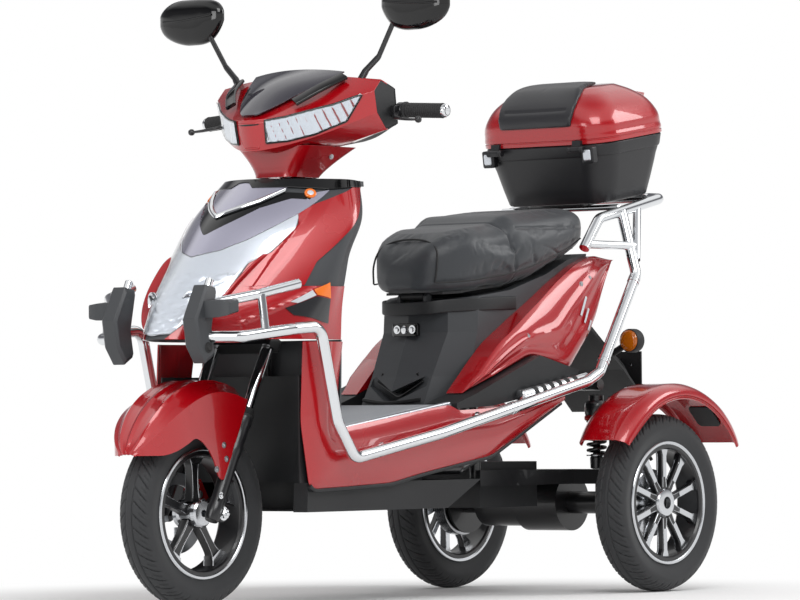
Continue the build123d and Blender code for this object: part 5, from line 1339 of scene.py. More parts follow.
def settled(shape: Shape, name: str, voxel_mm: float, pressure: float, cap_mm: float,
            pinned_mm: float) -> bpy.types.Object:
    """Makes a padded piece by cloth simulation: remesh, inflate, cap the travel, and apply it.

    Args:
        shape: The slightly smaller closed form that the padding swells from.
        name: The piece's name.
        voxel_mm: Voxel size of the remesh.
        pressure: The cloth's inner pressure.
        cap_mm: How far a point may move.
        pinned_mm: Points within this height of the form's underside stay where they are.

    Returns:
        The swollen object, not yet dressed.
    """
    made = linked(name, shape.mesh(name))
    weld(made.data)
    remesh = made.modifiers.new("voxels", "REMESH")
    remesh.mode = "VOXEL"
    remesh.voxel_size = voxel_mm / 1000
    apply_modifiers(made)
    count = len(made.data.vertices)
    before = np.empty(count * 3)
    made.data.vertices.foreach_get("co", before)
    before = before.reshape(-1, 3)
    cloth = made.modifiers.new("padding", "CLOTH")
    cloth.settings.use_pressure = True
    cloth.settings.uniform_pressure_force = pressure
    cloth.settings.effector_weights.gravity = 0.0
    cloth.settings.tension_stiffness = 30.0
    cloth.settings.compression_stiffness = 30.0
    cloth.point_cache.frame_start = 1
    cloth.point_cache.frame_end = CLOTH_FRAMES
    for step in range(1, CLOTH_FRAMES + 1):
        bpy.context.scene.frame_set(step)
    depsgraph = bpy.context.evaluated_depsgraph_get()
    swollen = made.evaluated_get(depsgraph)
    after = np.empty(count * 3)
    swollen.data.vertices.foreach_get("co", after)
    made.modifiers.clear()
    move = after.reshape(-1, 3) - before
    far = np.linalg.norm(move, axis=1, keepdims=True)
    move *= np.minimum(1.0, cap_mm / 1000 / np.maximum(far, 1e-9))
    height = before[:, 2:3] - before[:, 2].min()
    move *= np.clip(height / (pinned_mm / 1000), 0.25, 1.0)
    made.data.vertices.foreach_set("co", (before + move).ravel())
    bpy.context.scene.frame_set(1)
    finer = made.modifiers.new("finer", "SUBSURF")
    finer.levels = finer.render_levels = 1
    apply_modifiers(made)
    return made


def apply_modifiers(made: bpy.types.Object) -> None:
    """Replaces an object's mesh with the result of its modifiers."""
    depsgraph = bpy.context.evaluated_depsgraph_get()
    done = bpy.data.meshes.new_from_object(made.evaluated_get(depsgraph))
    made.modifiers.clear()
    made.data = done


def seam(made: bpy.types.Object, lines: list, depth_mm: float, width_mm: float) -> None:
    """Presses seams into a soft piece.

    Each line is a plane, by a point and a direction, and a box that it stays in. A point's depth is
    (1 - d / w) squared times the seam's depth, for its distance d to the plane up to the width w.

    Args:
        made: The piece.
        lines: Rows of point, direction, low corner and high corner, in mm from the rear axle.
        depth_mm: The seam's depth.
        width_mm: Its half width.
    """
    count = len(made.data.vertices)
    points, normals = np.empty(count * 3), np.empty(count * 3)
    made.data.vertices.foreach_get("co", points)
    made.data.vertices.foreach_get("normal", normals)
    points, normals = points.reshape(-1, 3), normals.reshape(-1, 3)
    place = (points - np.array([AXLE_X, 0, 0])) * 1000
    total = np.zeros(count)
    for at, way, low, high in lines:
        away = np.abs((place - np.asarray(at, float)) @ unit(np.asarray(way, float)))
        inside = ((place > np.asarray(low)) & (place < np.asarray(high))).all(1)
        total = np.maximum(total, held(1 - away / width_mm) ** 2 * inside)
    points -= normals * total[:, None] * depth_mm / 1000
    made.data.vertices.foreach_set("co", points.ravel())
    made.data.update()


def dressed(made: bpy.types.Object, body: Body, finish: Finish, stands_for: str) -> None:
    """Gives a padded piece its finish and its body, and hides the CAD node that it stands for."""
    made.data.materials.clear()
    made.data.materials.append(finish.material())
    made.data.polygons.foreach_set("use_smooth", np.ones(len(made.data.polygons), bool))
    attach(made, body.value)
    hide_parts(stands_for)
    log.info("%s: %d faces on %s, padded", made.name, len(made.data.polygons), body.value)


def soft_section(half: float, low: float, high: float, corner: float, crown: float) -> Array:
    """A cushion's cross-section as (y, z): a rounded box whose top is crowned and sides pull in.

    Args:
        half: Half width.
        low: Underside.
        high: Top at the sides.
        corner: Radius of the corners.
        crown: How far the top rises in the middle.

    Returns:
        The outline.
    """
    box = rounded_box(2 * half, high - low, corner, 14)
    middle = (high + low) / 2
    share = box[:, 1] / ((high - low) / 2)
    lift = crown * held(share) * (1 - (box[:, 0] / half) ** 2)
    tuck = 1 - 0.05 * held(-share) ** 2
    return np.stack([box[:, 0] * tuck, box[:, 1] + middle + lift], 1)


@dataclass
class Saddle:
    """The two-up saddle: a stepped padded cushion with a piped front panel and sewn seams."""

    rows: tuple = (
        # x, underside, top, half width, corner, crown
        (563, 700, 738, 40, 15, 0), (552, 695, 772, 70, 26, 2), (536, 692, 795, 88, 32, 4),
        (505, 692, 812, 112, 34, 5), (470, 694, 822, 130, 34, 6), (430, 698, 830, 141, 34, 6),
        (386, 706, 835, 149, 34, 5), (352, 710, 844, 154, 34, 4), (318, 714, 862, 158, 34, 4),
        (260, 726, 868, 162, 34, 4), (200, 746, 875, 164, 33, 4), (150, 766, 880, 163, 32, 4),
        (100, 786, 883, 160, 29, 3), (66, 800, 881, 152, 26, 2), (45, 808, 874, 138, 24, 0))

    def build(self) -> None:
        """Builds the cushion, then its piping and stitches."""
        table = np.array(self.rows, float)
        fine = along(table, np.linspace(0, len(table) - 1, 64))
        rings = np.stack([flat(soft_section(row[3], row[1], row[2], row[4], row[5]), "x", row[0])
                          for row in fine])
        shape = Shape().solid(rings)
        made = settled(shape, "saddle_padding", 5.0, 4.0, 7.0, 30.0)
        low, high = (30, -180, 690), (600, 180, 905)
        seam(made,
             [((338, 0, 800), (1, 0, -0.35), low, high),
              ((0, 0, 846), (0.02, 0, 1), (40, -180, 700), (320, -140, 900)),
              ((0, 0, 846), (0.02, 0, 1), (40, 140, 700), (320, 180, 900)),
              ((300, 0, 0), (1, 0, 0.12), (200, -120, 830), (400, 120, 905)),
              ((190, 0, 0), (1, 0, 0), (150, -120, 840), (250, 120, 905)),
              ((0, 0, 748), (-0.22, 0, 1), (30, -180, 690), (545, -100, 800)),
              ((0, 0, 748), (-0.22, 0, 1), (30, 100, 690), (545, 180, 800)),
              ((520, 0, 0), (1, 0, 0.3), (480, -130, 690), (560, 130, 830))], 3.2, 7.0)
        dressed(made, Body.SADDLE, SHOP.saddle, "saddle_cushion")
        piping = Shape()
        arch = [(541, -90, 712), (537, -93, 752), (528, -84, 786), (521, -52, 806), (518, 0, 812),
                (521, 52, 806), (528, 84, 786), (537, 93, 752), (541, 90, 712)]
        piping.tube(smooth(arch, 60), 2.2, 10, (1, 0, 0))
        for hand in (1, -1):
            low_line = [(541, hand * 88, 712), (520, hand * 104, 712), (470, hand * 129, 716),
                        (400, hand * 146, 726), (330, hand * 156, 738), (240, hand * 162, 762),
                        (150, hand * 163, 792), (80, hand * 154, 820)]
            piping.tube(smooth(low_line, 80), 1.8, 8, (0, 0, 1))
        piping.piece("saddle_piping", Body.SADDLE, [SHOP.rubber])


@dataclass
class Backrest:
    """The pad on the case lid: a bevelled vinyl cushion, wider at its foot."""

    def build(self) -> None:
        """Builds the pad as stacked rounded outlines in the lid's leaning plane, and swells it."""
        # Rows from the foot at the lid's front up over its top: x, z, half width, thickness.
        line = smooth([(47, 1082), (42, 1108), (28, 1138), (2, 1165), (-40, 1182), (-98, 1190)], 40)
        ahead = unit(np.gradient(line, axis=0))
        out = np.stack([ahead[:, 1], -ahead[:, 0]], 1)
        half = smooth([(104,), (110,), (112,), (106,), (92,), (72,)], 40)[:, 0]
        thick = smooth([(6,), (8,), (9,), (9,), (8,), (5,)], 40)[:, 0]
        section = rounded_box(2, 2, 0.5, 10)
        y = section[None, :, 0] * half[:, None]
        depth = section[None, :, 1] * thick[:, None]
        points = np.stack([line[:, :1] + out[:, :1] * depth, y, line[:, 1:] + out[:, 1:] * depth], -1)
        shape = Shape().solid(points)
        made = settled(shape, "backrest_padding", 4.0, 3.0, 4.0, 8.0)
        seam(made, [((28, 0, 1138), (0.6, 0, 0.8), (0, -90, 1100), (70, 90, 1180))], 1.8, 5.0)
        dressed(made, Body.LID, SHOP.pad, "backrest_pad")


HEAD_ROWS = (
    # share of the half width, then x and z shares of: nose low, nose top, brow, back top, back low, belly
    (0.0, (0.96, 0.06), (1.00, 0.42), (0.52, 0.96), (0.18, 0.98), (0.10, 0.25), (0.40, 0.02)),
    (0.5, (0.76, 0.20), (0.80, 0.52), (0.46, 0.98), (0.14, 0.94), (0.06, 0.22), (0.40, 0.14)),
    (1.0, (0.41, 0.52), (0.44, 0.78), (0.36, 0.92), (0.20, 0.82), (0.17, 0.40), (0.30, 0.32)))


@dataclass
class Head:
    """The handlebar head: its red cover, black dash, lamps, V grille, windscreen and neck."""

    low: tuple = (790.0, 985.0)
    high: tuple = (1078.0, 1160.0)
    half: float = 226.0
    dash_x: float = 872.0
    neck_lean: float = STEERING_SLOPE

    def section(self, y: Array) -> Array:
        """The cover's section points at places across: a smooth line through its five rows."""
        table = np.array([row[1:] for row in HEAD_ROWS], float)
        table = np.array(self.low) + table * (np.array(self.high) - np.array(self.low))
        rows = np.concatenate([table[:0:-1], table])
        return along(rows, np.clip(y / self.half * 2 + 2, 0, 4))

    def front_at(self, y: Array, z: Array, proud: float) -> Array:
        """Points of the cover's front: at each place across, x follows the section's line by height."""
        points = self.section(y.ravel())
        x0, z0, x1, z1, x2, z2 = (points[:, k, c] for k in (0, 1, 2) for c in (0, 1))
        height = z.ravel()
        low = x0 + (x1 - x0) * np.clip((height - z0) / (z1 - z0), -1.0, 1)
        high = x1 + (x2 - x1) * (height - z1) / (z2 - z1)
        x = np.where(height < z1, low, high)
        return np.stack([x.reshape(y.shape) + proud, y, z], -1)

    def cover(self) -> None:
        """Builds the closed cover with its creases: straight between section points, smooth across."""
        y = np.linspace(-self.half, self.half, 91)
        corners = self.section(y)
        brow, top, back, belly = (corners[:, k] for k in (2, 3, 4, 5))

        def at_dash(first: Array, second: Array) -> Array:
            """The point of an edge where it crosses the dash's plane."""
            share = (self.dash_x - first[:, :1]) / (second[:, :1] - first[:, :1])
            return first + (second - first) * share

        high_cut, low_cut = at_dash(brow, top), at_dash(belly, back)
        red = [low_cut, belly, corners[:, 0], corners[:, 1], brow, high_cut]
        black = [high_cut, top, back, low_cut]

        def strip(points: list) -> Array:
            """A grid: across by section, with each straight run of the section read at 5 places."""
            line = np.stack(points, 1)
            places = np.linspace(0, len(points) - 1, 5 * (len(points) - 1) + 1)
            low = np.minimum(places.astype(int), len(points) - 2)
            share = (places - low)[None, :, None]
            flat_points = line[:, low] * (1 - share) + line[:, low + 1] * share
            return np.stack([flat_points[..., 0], np.broadcast_to(y[:, None], flat_points.shape[:2]),
                             flat_points[..., 1]], -1)

        Shape().shell(strip(red)[:, ::-1], 3.0).piece(
            "head_cover_shell", Body.STEERING, [SHOP.red], ("head_cover",), bevel_mm=2.2, sharp_deg=20)
        dash = Shape().shell(strip(black)[:, ::-1], 3.0)
        for hand in (1, -1):
            ends = corners[0 if hand < 0 else -1]
            ring = np.stack([ends[:, 0], np.full(6, hand * self.half), ends[:, 1]], 1)
            inner = ring * np.array([1, 0.97, 1])
            dash.solid(np.stack([ring, inner]))
        screen = rounded_box(46, 96, 8, 5)
        rings = []
        for lift, scale in ((-2, 1.0), (2.5, 1.0), (4.0, 0.94)):
            rings.append(np.stack([835 + screen[:, 0] * 0.35 * scale - lift * 0.9, screen[:, 1] * scale,
                                   1118 + screen[:, 0] * 0.93 * scale + lift * 0.3], 1))
        dash.solid(np.stack(rings), 1)
        dash.piece("dash_shell", Body.STEERING, [SHOP.black, SHOP.gloss], ("dash_panel",), bevel_mm=2.0,
                   sharp_deg=24)

    def lamps(self) -> None:
        """Builds both lamps: a stepped reflector and a clear cover, inside a bright edge."""
        upper = [(42, 1059), (80, 1066), (162, 1092), (207, 1114)]
        lower = [(40, 1010), (80, 1014), (128, 1028), (180, 1056), (208, 1112)]
        glass, mirror = Shape(), Shape()
        places = between(lower, upper, 18, 70)
        y, z = places[..., 0], places[..., 1]
        steps = np.abs(((y / 17.0 + z / 60.0) % 1.0) - 0.5) * 2
        mirror.shell(self.front_at(y, z, 0.0) + np.array([1.0, 0, 0]) * (2.0 + 4.0 * steps)[..., None], 1.0)
        glass.shell(self.front_at(y, z, 0.0) + np.array([0.9, 0.2, 0.2]) * 8.0, 1.5)
        mirror.both().piece(
            "head_lamp_reflectors", Body.STEERING, [SHOP.mirror], ("head_lamps",), sharp_deg=15)
        glass.both().piece("head_lamp_covers", Body.STEERING, [SHOP.clear], bevel_mm=0.6)
        rim = Shape()
        loop = np.array(lower + upper[::-1], float)
        loop = straight(np.concatenate([loop, loop[:1]]), 90)
        line = self.front_at(loop[:, 0], loop[:, 1], 5.0)
        rim.tube(line, 2.6, 8, (1, 0, 0))
        rim.both().piece("head_lamp_rims", Body.STEERING, [SHOP.gloss])

    def grille(self) -> None:
        """Builds the V grille: a black field, five slats, and a raised red frame round it."""
        left, right = [(-20, 1000), (-40, 1052)], [(20, 1000), (40, 1052)]
        places = between(left, right, 12, 40)
        y, z = places[..., 0], places[..., 1]
        slats = held((np.abs(z / 10.0 % 1.0 - 0.5) - 0.22) * 12)
        field_points = self.front_at(y, z, 0.0) + np.array([1.0, 0, 0]) * (0.6 + 2.4 * slats)[..., None]
        Shape().shell(field_points, 1.0).piece(
            "head_grille_field", Body.STEERING, [SHOP.gloss], ("head_grille",), sharp_deg=20)
        loop = straight([(-20, 1000), (-42, 1054), (42, 1054), (20, 1000), (-20, 1000)], 80)
        line = self.front_at(loop[:, 0], loop[:, 1], 0.5)
        Shape().tube(line, 3.0, 10, (1, 0, 0)).piece("head_grille_frame", Body.STEERING, [SHOP.red])

    def screen(self) -> None:
        """Builds the windscreen: a crowned smoked sheet from its foot to a wide arched top."""
        u, v = np.meshgrid(np.linspace(0, 1, 40), np.linspace(-1, 1, 61), indexing="ij")
        half = 22 + (128 - 22) * u ** 0.82
        x = 1074 - 160 * u - 14 * u * np.abs(v) ** 2 + 6 * np.sin(math.pi * u)
        z = 1071 + 97 * u + 12 * np.sin(math.pi * u) * (1 - v ** 2) + 9 * u * (1 - v ** 2)
        sheet = np.stack([x, half * v, z], -1)
        Shape().shell(sheet, 3.0).piece(
            "windscreen_sheet", Body.STEERING, [SHOP.smoked], ("windscreen",), bevel_mm=1.0, sharp_deg=30)
        wings = Shape()
        line = smooth([(1030, 92, 1098), (985, 128, 1130), (930, 152, 1158)], 30)
        wings.bar(line, rounded_box(26, 9, 3.5, 4), (0.4, 0.3, 0.8))
        wings.both().piece("windscreen_wings", Body.STEERING, [SHOP.gloss], bevel_mm=0.8)
        screws = Shape()
        for hand in (1, -1):
            add_bolt(screws, (1006, hand * 52, 1122), (0.5, 0, 0.85), 4.5, 2.5)
        screws.piece("windscreen_screws", Body.STEERING, [SHOP.chrome])

    def neck(self) -> None:
        """Builds the neck cover: rounded outlines that flare upwards, as one closed wall."""
        lifts = np.linspace(0, 1, 12)
        z = 938.0 + 68.0 * lifts
        x = 1280.0 - (z - WHEEL_MM) * self.neck_lean + 41.0
        length = 116 + 76 * lifts ** 1.3
        width = 112 + 97 * lifts ** 1.3
        rings = []
        for wall in (0.0, 4.0):
            rows = [np.stack([cx + box[:, 0], box[:, 1], np.full(len(box), cz)], 1)
                    for cx, cz, box in zip(x, z, (rounded_box(a - 2 * wall, b - 2 * wall, 26 - wall, 8)
                                                  for a, b in zip(length, width)))]
            rings.append(np.stack(rows))
        whole = np.concatenate([rings[0], rings[1][::-1]])
        shape = Shape().grid(whole, wrap_u=True, wrap_v=True)
        shape.piece("neck_cover_shell", Body.STEERING, [SHOP.red], ("neck_cover",), bevel_mm=0.8)
        bolts = Shape()
        for px, py in ((975, 60), (900, 88)):
            add_bolt(bolts, (px, py, 984), (0.1, 0.9, -0.3), 4.0, 2.5)
        bolts.both().piece("neck_screws", Body.STEERING, [SHOP.steel])

    def build(self) -> None:
        """Builds the whole head."""
        self.cover()
        self.lamps()
        self.grille()
        self.screen()
        self.neck()


@dataclass
class Controls:
    """The handlebar's ends: ribbed grips, chrome ends, curved levers, switches and mirrors."""

    inner: tuple = (831.0, 222.0, 1084.0)
    outer: tuple = (818.0, 352.0, 1077.0)

    def grips(self) -> None:
        """Builds the grips as ribs turned round the bar's end, and their bright caps."""
        rubber, bright = Shape(), Shape()
        rows = [(18, 12), (18, 18.5), (23, 19), (25, 15.6)]
        for k in range(16):
            rows += [(27 + 5.6 * k, 15.4), (28.2 + 5.6 * k, 16.6), (30.6 + 5.6 * k, 16.6),
                     (31.8 + 5.6 * k, 15.4)]
        rows += [(117.5, 17), (119, 16.5), (119, 12)]
        rubber.turned(rows, self.inner, self.outer, 28)
        bright.turned([(119, 10), (119.5, 14.5), (126, 14.8), (129.5, 13), (131, 9), (131.3, 0.2)],
                      self.inner, self.outer, 28)
        rubber.both().piece("grip_sleeves", Body.STEERING, [SHOP.rubber], ("grips",))
        bright.both().piece("grip_caps", Body.STEERING, [SHOP.chrome], ("bar_ends",))

    def levers(self) -> None:
        """Builds the levers: a flattened bar that curves outwards to a ball, and its clamp."""
        shape = Shape()
        path = smooth([(838, 231, 1080), (862, 240, 1071), (884, 262, 1063), (892, 296, 1058),
                       (893, 328, 1056)], 40)
        size = np.interp(np.linspace(0, 1, 40), [0, 0.3, 0.9, 1], [1.3, 1.15, 0.8, 0.75])
        shape.bar(path, rounded_box(13, 7, 3, 4), (0, 0, 1), size)
        ball = [(0, 2), (1.4, 5), (4, 7), (8, 7.6), (12, 6.4), (14.4, 3.6), (15.2, 0.2)]
        shape.turned(ball, (893, 322, 1056.3), (893, 338, 1055.7), 20)
        shape.turned([(2, 12), (2, 16.5), (5, 17.5), (15, 17.5), (18, 16.5), (18, 12)], self.inner,
                     self.outer, 24)
        block = rounded_box(34, 26, 6, 5)
        shape.solid(np.stack([flat(block, "y", 224), flat(block, "y", 238)]) + np.array([846, 0, 1080]))
        shape.both().piece("lever_castings", Body.STEERING, [SHOP.cast], ("brake_levers",), bevel_mm=0.8)

    def mirrors(self) -> None:
        """Builds the mirrors: a domed black shell with a crease, silvered glass, and a cranked arm."""
        shares = [(-1.0, 0.05), (-0.86, 0.78), (-0.3, 1.0), (0.55, 0.92), (1.0, 0.34), (0.86, -0.5),
                  (0.2, -0.98), (-0.58, -0.86)]
        closed = np.array(shares[-2:] + shares + shares[:3], float)
        outline = along(closed, np.linspace(2, 10, 64, endpoint=False)) * (93, 52)
        outline = np.clip(outline, (-93, -52), (93, 52))
        shape = Shape()
        back = ((886, 0.95), (887, 0.985), (892, 1.0), (899, 0.985), (906, 0.90), (911, 0.74), (914, 0.50),
                (915, 0.22))
        for rows, slot in ((back, 0), (((887.5, 0.90), (885.6, 0.90), (885.2, 0.88)), 1)):
            shape.solid(facing(outline, rows, 325, 1304), slot)
        ridge = smooth([(914.2, 250, 1318), (915.6, 300, 1312), (915.4, 350, 1308), (911, 398, 1308)], 30)
        shape.bar(ridge, rounded_box(5, 2.4, 1, 3), (1, 0, 0))
        arm = bent([(905, 172, 1142), (901, 190, 1170), (896, 222, 1198), (900, 280, 1292)], 26, 8)
        size = np.interp(np.linspace(0, 1, len(arm)), [0, 0.5, 1], [1.15, 0.95, 0.8])
        shape.bar(arm, rounded_box(14, 9, 3.5, 4), (1, 0, 0), size, slot=2)
        shape.turned([(0, 14), (3, 16), (13, 15), (18, 10), (24, 8)], (906, 168, 1128), (904, 176, 1150),
                     20, slot=2)
        shape.both().piece("mirror_assemblies", Body.STEERING, [SHOP.gloss, SHOP.mirror, SHOP.cast],
                           ("mirrors",), bevel_mm=0.6)

    def build(self) -> None:
        """Builds all the controls."""
        self.grips()
        self.levers()
        self.mirrors()


@dataclass
class TopCase:
    """The top case: a tapered black base with clasps, and a domed red lid with a double rim band."""

    lean_deg: float = CASE_LEAN_DEG
    floor: tuple = (-116.0, 919.0)
    rim: tuple = (-102.0, 1060.0)

    def placed(self, along_x: Array, y: Array, lift: Array, origin: tuple) -> Array:
        """Points in the case's own leaning plane: along it, across, and above it."""
        cosine, sine = math.cos(math.radians(self.lean_deg)), math.sin(math.radians(self.lean_deg))
        return np.stack([origin[0] + along_x * cosine + lift * sine, y,
                         origin[1] - along_x * sine + lift * cosine], -1)

    def rings(self, rows: list, origin: tuple) -> Array:
        """Rounded outlines by lift, shift ahead, length, width and corner."""
        made = []
        for lift, ahead, length, width, corner in rows:
            box = rounded_box(length, width, corner, 12)
            made.append(self.placed(box[:, 0] + ahead, box[:, 1], np.full(len(box), float(lift)), origin))
        return np.stack(made)

    def base(self) -> None:
        """Builds the hollow base: its walls flare upwards, with a step below the rim."""
        outer = [(0, 0, 196, 290, 50), (1.5, 0, 206, 300, 55), (5, 0, 212, 306, 58),
                 (40, -2.5, 231, 325, 62), (80, -5.5, 250, 345, 66), (112, -6.5, 265, 361, 70),
                 (114, -6.5, 272, 368, 72), (118, -6.6, 276, 372, 73), (139.5, -7.7, 283, 379, 74),
                 (141.5, -7.7, 281, 377, 73)]
        inner = [(141.5, -7.7, 276, 372, 70), (118, -6.6, 270, 366, 69), (40, -2.5, 223, 317, 58),
                 (6, 0, 203, 297, 50), (4, 0, 196, 290, 46)]
        shape = Shape().solid(self.rings(outer + inner, self.floor))
        shape.piece("case_base_shell", Body.ROOT, [SHOP.case], ("case_base",), sharp_deg=32)
        clasps = Shape()
        for hand in (1, -1):
            outline = rounded_box(34, 40, 5, 5)
            for start, end, scale, slot in ((132, 149, 1.0, 0), (148, 152, 0.62, 1)):
                rows = []
                for ahead, s in ((start, scale), (end - 2, scale), (end, scale * 0.86)):
                    rows.append(self.placed(np.full(len(outline), float(ahead)),
                                            hand * 147 + outline[:, 0] * s,
                                            -22 + outline[:, 1] * s, self.rim))
                clasps.solid(np.stack(rows), slot)
        clasps.piece("case_clasps", Body.ROOT, [SHOP.case, SHOP.silver], bevel_mm=0.8)
        hinges = Shape()
        for y in (101.5, 107.5, 132.5, 138.5):
            hinges.turned([(0, 3), (0, 7), (1, 8), (5, 8), (6, 7), (6, 3)],
                          (LID_HINGE[0], y - 3.0, LID_HINGE[1]), (LID_HINGE[0], y + 3.0, LID_HINGE[1]), 24)
        hinges.both().piece("case_hinge_ears", Body.ROOT, [SHOP.case])

    def lid(self) -> None:
        """Builds the lid: a double band at the rim, a soft dome above it, and the rear spoiler."""
        dome = along([(24, 1.0, 286, 383, 75), (52, 2.1, 281, 377, 75), (86, 3.4, 250, 342, 73),
                      (110, 4.4, 204, 288, 68), (125, 5.0, 158, 236, 62)], np.linspace(0, 4, 18))
        outer = [(2, 0.1, 284, 382, 74), (3, 0.1, 287.5, 385.5, 76), (10, 0.4, 287.5, 385.5, 76),
                 (11.5, 0.5, 284.5, 382.5, 75), (13, 0.5, 284.5, 382.5, 75),
                 (14.5, 0.6, 287.5, 385.5, 76), (21, 0.8, 287.5, 385.5, 76)]
        outer += [tuple(row) for row in dome] + [(127.5, 5.1, 146, 224, 58)]
        inner = [(122, 5.0, 140, 218, 55), (84, 3.4, 240, 332, 69), (24, 1.0, 278, 375, 71),
                 (2, 0.1, 277, 375, 70)]
        stack = self.rings(outer, self.rim)
        cap_in = self.rings(inner, self.rim)
        shape = Shape()
        shape.grid(stack, wrap_v=True)
        top = stack[-1]
        shape.faces.append((np.arange(len(top)) + shape.count - len(top)).tolist())
        shape.slots.append(0)
        first = shape.count
        shape.grid(cap_in, wrap_v=True, slot=1)
        shape.faces.append((np.arange(len(top)) + first).tolist())
        shape.slots.append(1)
        shape.grid(np.stack([stack[0], cap_in[-1]]), wrap_v=True, slot=1)
        spoiler = ((-288, 1181), (-284, 1168), (-236, 1138), (-186, 1148), (-172, 1176), (-217, 1186))
        shape.solid(drawn(spoiler, "y", ((-84, 0.55), (-78, 0.86), (-60, 0.98), (0, 1.0), (60, 0.98),
                                         (78, 0.86), (84, 0.55))))
        for y in (-120.0, 120.0):
            shape.grid(lathe([(0, 3.1), (0, 8), (24, 8), (24, 3.1)], (LID_HINGE[0], y - 12, LID_HINGE[1]),
                             (LID_HINGE[0], y + 12, LID_HINGE[1]), 24), wrap_v=True, wrap_u=True, slot=1)
            leaf = np.array([(40.5, 1029), (50, 1034), (48, 1050), (33, 1050), (33, 1041), (40.5, 1040)])
            shape.solid(np.stack([flat(leaf, "y", y - 12), flat(leaf, "y", y + 12)]), 1)
        shape.piece("case_lid_shell", Body.LID, [SHOP.red, SHOP.case], ("case_lid",), sharp_deg=34)

    def build(self) -> None:
        """Builds the case."""
        self.base()
        self.lid()


def floor_height(x: Array | float) -> Array | float:
    """Height of the sloping floor at a place along the machine."""
    return 377.0 + (1044.0 - x) * math.tan(math.radians(8.0))


@dataclass
class Floor:
    """The ribbed mat on the floorboard, with its border and screws."""

    def build(self) -> None:
        """Builds the mat: ribs run along it; their height is a clipped wave across."""
        x, y = np.meshgrid(np.linspace(640, 1000, 40), np.linspace(-168, 168, 241), indexing="ij")
        wave = np.clip(np.cos(y / 14.0 * 2 * math.pi) * 2.2, -1, 1)
        edge = held((168 - np.abs(y)) / 10) * held(np.minimum(x - 640, 1000 - x) / 12)
        z = floor_height(x) + 1.2 + 1.5 * edge * (wave + 1)
        mat = Shape().shell(np.stack([x, y, z], -1), 1.5)
        mat.piece("floor_mat", Body.ROOT, [SHOP.floor], sharp_deg=30)
        trim = Shape()
        for hand in (1, -1):
            line = np.stack([np.linspace(1040, 626, 30), np.full(30, hand * 190.0),
                             floor_height(np.linspace(1040, 626, 30)) + 2.5], 1)
            trim.bar(line, rounded_box(16, 6, 2.4, 4))
            for x in (1000, 900, 790, 690):
                add_bolt(trim, (x, hand * 178, float(floor_height(x)) + 1.0), (0, 0, 1), 4.5, 2.5, 1)
        trim.piece("floor_edge_trim", Body.ROOT, [SHOP.silver, SHOP.steel], bevel_mm=0.6)


@dataclass
class Sills:
    """The red lower bodywork: two skins with a rolled edge, a crease and a black foot strip."""

    def build(self) -> None:
        """Builds each side between its upper and lower line, bowed outwards by a sine of the share."""
        shape, strip = Shape(), Shape()
        upper = [(1018, 573), (1032, 500), (1044, 384), (900, 402), (720, 427), (640, 436), (624, 422),
                 (494, 427), (236, 461.5)]
        lower = [(1147, 573), (1157, 400), (1128, 252), (1000, 256), (851, 262), (740, 282), (620, 300),
                 (494, 318), (235, 438)]
        one, two = smooth_corner(upper, 120), smooth_corner(lower, 120)
        share = np.linspace(0, 1, 22)[:, None, None]
        plan = one[None] * (1 - share) + two[None] * share
        s = share[..., 0]
        bow = 203 + 21 * np.sin(math.pi * held(s * 0.86 + 0.1)) ** 0.55
        crease = 2.2 * held(1 - np.abs(s - 0.34) / 0.06)
        outer = np.stack([plan[..., 0], np.clip(np.broadcast_to(bow - crease, plan.shape[:2]), 200, 223),
                          plan[..., 1]], -1)
        shape.shell(outer, 3.0)
        shape.both().piece(
            "sill_skins", Body.ROOT, [SHOP.red], ("sill_panels",), bevel_mm=0.8, sharp_deg=26)
        line = np.stack([two[30:, 0], np.full(90, 208.0), two[30:, 1] - 1.0], 1)
        strip.bar(line, rounded_box(12, 8, 3, 4))
        strip.both().piece("sill_foot_strips", Body.ROOT, [SHOP.black])


def smooth_corner(line: list, count: int) -> Array:
    """A straight-edged line read evenly by length, with its corners eased by a short running mean."""
    fine = straight(line, count)
    eased = fine.copy()
    eased[2:-2] = (fine[:-4] + fine[1:-3] + fine[2:-2] + fine[3:-1] + fine[4:]) / 5
    return eased


